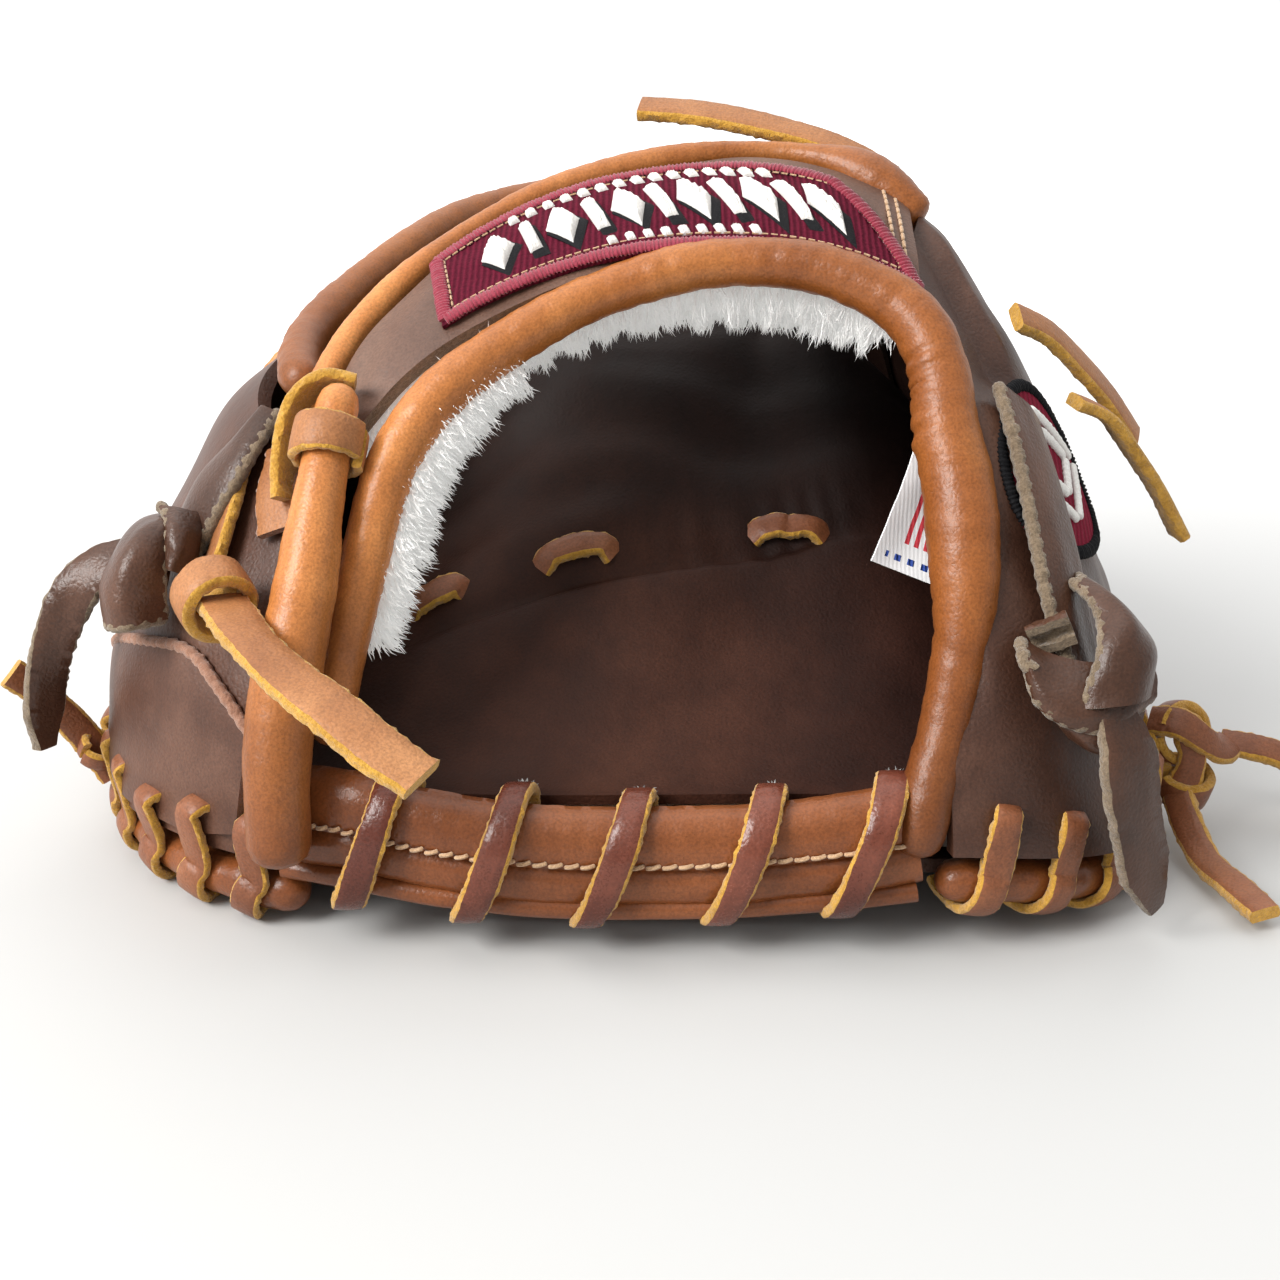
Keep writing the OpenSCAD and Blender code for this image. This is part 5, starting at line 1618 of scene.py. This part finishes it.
def make_web():
    """The web lies just under the edges of both back hides."""
    a, k = np.linspace(59, 102, 90)[:, None], np.linspace(0, 1, 90)[None]
    edge = np.where(a < FOLD_ANGLE, edge_share(THUMB_EDGE, a), edge_share(FINGER_EDGE, a))
    r = mix(edge + 0.015, 0.985, k)
    lift = 0.45 * waves(stack(a, r, 0)[..., 0] * 2, r * 150, 30, 71)
    top = along_normal(dome(a, r, WEB_DEPTH), lift)
    bottom = along_normal(dome(a, r, WEB_DEPTH + LEATHER_T), lift)
    obj = slab("web_hide", top, bottom, [walnut, raw_edge, inner_hide_painted_shade], arc_uv(top))
    bend(obj, "walnut_leather", *PALM_BEND, "web_finger_panel", "web_thumb_panel")
    parts = []
    t = np.linspace(0, 1, 9)
    rise = -WEB_DEPTH - 1.2 + 6.0 * np.sin(np.pi * (0.08 + 0.84 * t)) ** 0.6 * (0.35 + 0.65 * t)
    for k, r in enumerate(np.arange(0.36, 0.95, 0.05)):
        for side in (1, -1):
            p = dome(FOLD_ANGLE + side * (1.5 + t * WEB_LACE_SPAN), r + 0.022 * t * (1 if k % 2 else -1))
            n = dome_normal(p[:, 0], p[:, 1])
            p = p + n * rise[:, None]
            parts.append(strip(f"web_lace_{k}_{side}", p, n, DARK_LACE, 5.6, 1.9, 700 + k, 1.0))
    bend(join("web_lacing", parts), "rawhide_lace", *PALM_BEND, "web_finger_laces", "web_thumb_laces")


def make_stall_walls():
    """The leather walls between the finger stalls keep their plain shape: they are hidden inside."""
    obj = bpy.data.objects["finger_stall_walls"]
    obj.data.materials.clear()
    obj.data.materials.append(lining_hide_painted_shade)


# ---------------------------------------------------------------- floor and light

FLOOR_HALF = 6.0
FLOOR_Z = -0.0002
MITT_MIDDLE = (0, 0, 0.06)
BRIGHT_SIDE = (-0.3, 0.75, 0.6)


def make_stage():
    """A pale floor that fades to white behind the mitt with painted light and a painted glow, a white studio
    and two soft lights.
    """
    mesh = bpy.data.meshes.new("floor")
    corners = [(-1, -1), (1, -1), (1, 1), (-1, 1)]
    mesh.from_pydata([(x * FLOOR_HALF, y * FLOOR_HALF, FLOOR_Z) for x, y in corners], [], [(0, 1, 2, 3)])
    m = Shader("floor_paint", 0.6, Specular_IOR_Level=0.2)
    # Painted light: the floor's colour turns white far behind the mitt, where the key light is weak.
    far = m.along("Y", -0.12, 0.75)
    near = m.ramp(m.noise(0.8, 2), [(0.3, (0.53, 0.533, 0.53)), (0.8, (0.55, 0.553, 0.55))])
    m.colour(m.blend(far, near, (1.0, 1.0, 1.0)))
    # Painted light: the floor glows far behind the mitt.
    m.bsdf.inputs["Emission Color"].default_value = (1.0, 1.0, 1.0, 1)
    m.link(m.scaled(m.along("Y", 0.25, 1.1), 0, 0.5), m.bsdf.inputs["Emission Strength"])
    mesh.materials.append(m.material)
    floor = bpy.data.objects.new("floor", mesh)
    bpy.context.scene.collection.objects.link(floor)
    make_world()
    make_light("key", (-0.95, -0.75, 0.95), 0.7, 27, (1.0, 0.985, 0.96))
    make_light("top", (-0.2, 0.35, 1.5), 1.6, 6, (1.0, 0.99, 0.97))
    bpy.context.scene.view_settings.view_transform = "Standard"


def make_light(name, at, side, power, colour):
    """A square area light that points at the middle of the mitt."""
    data = bpy.data.lights.new(name, "AREA")
    data.size = side
    data.energy = power
    data.color = colour
    obj = bpy.data.objects.new(name, data)
    obj.location = at
    obj.rotation_euler = (Vector(MITT_MIDDLE) - Vector(at)).to_track_quat("-Z", "Y").to_euler()
    bpy.context.scene.collection.objects.link(obj)


def make_world():
    """A white studio, brighter from above, behind and the left, and dimmer from the right and the front."""
    world = bpy.data.worlds.new("studio")
    world.use_nodes = True
    tree = world.node_tree
    way = add_node(tree, "TexCoord")
    dot = add_node(tree, "VectorMath")
    dot.operation = "DOT_PRODUCT"
    dot.inputs[1].default_value = BRIGHT_SIDE
    power = add_node(tree, "MapRange", From_Min=-0.75, From_Max=1.0, To_Min=0.34, To_Max=1.25)
    tree.links.new(way.outputs["Generated"], dot.inputs[0])
    tree.links.new(dot.outputs["Value"], power.inputs["Value"])
    back = tree.nodes["Background"]
    back.inputs["Color"].default_value = (1.0, 0.997, 0.99, 1)
    tree.links.new(power.outputs["Result"], back.inputs["Strength"])
    bpy.context.scene.world = world


make_camera()
make_cords()
make_back()
make_overlay()
make_palm()
make_lining_laces()
make_rolls()
make_rim()
make_heel()
make_strap()
make_pinky_fittings()
make_thumb_fittings()
make_web()
make_stall_walls()
make_stage()
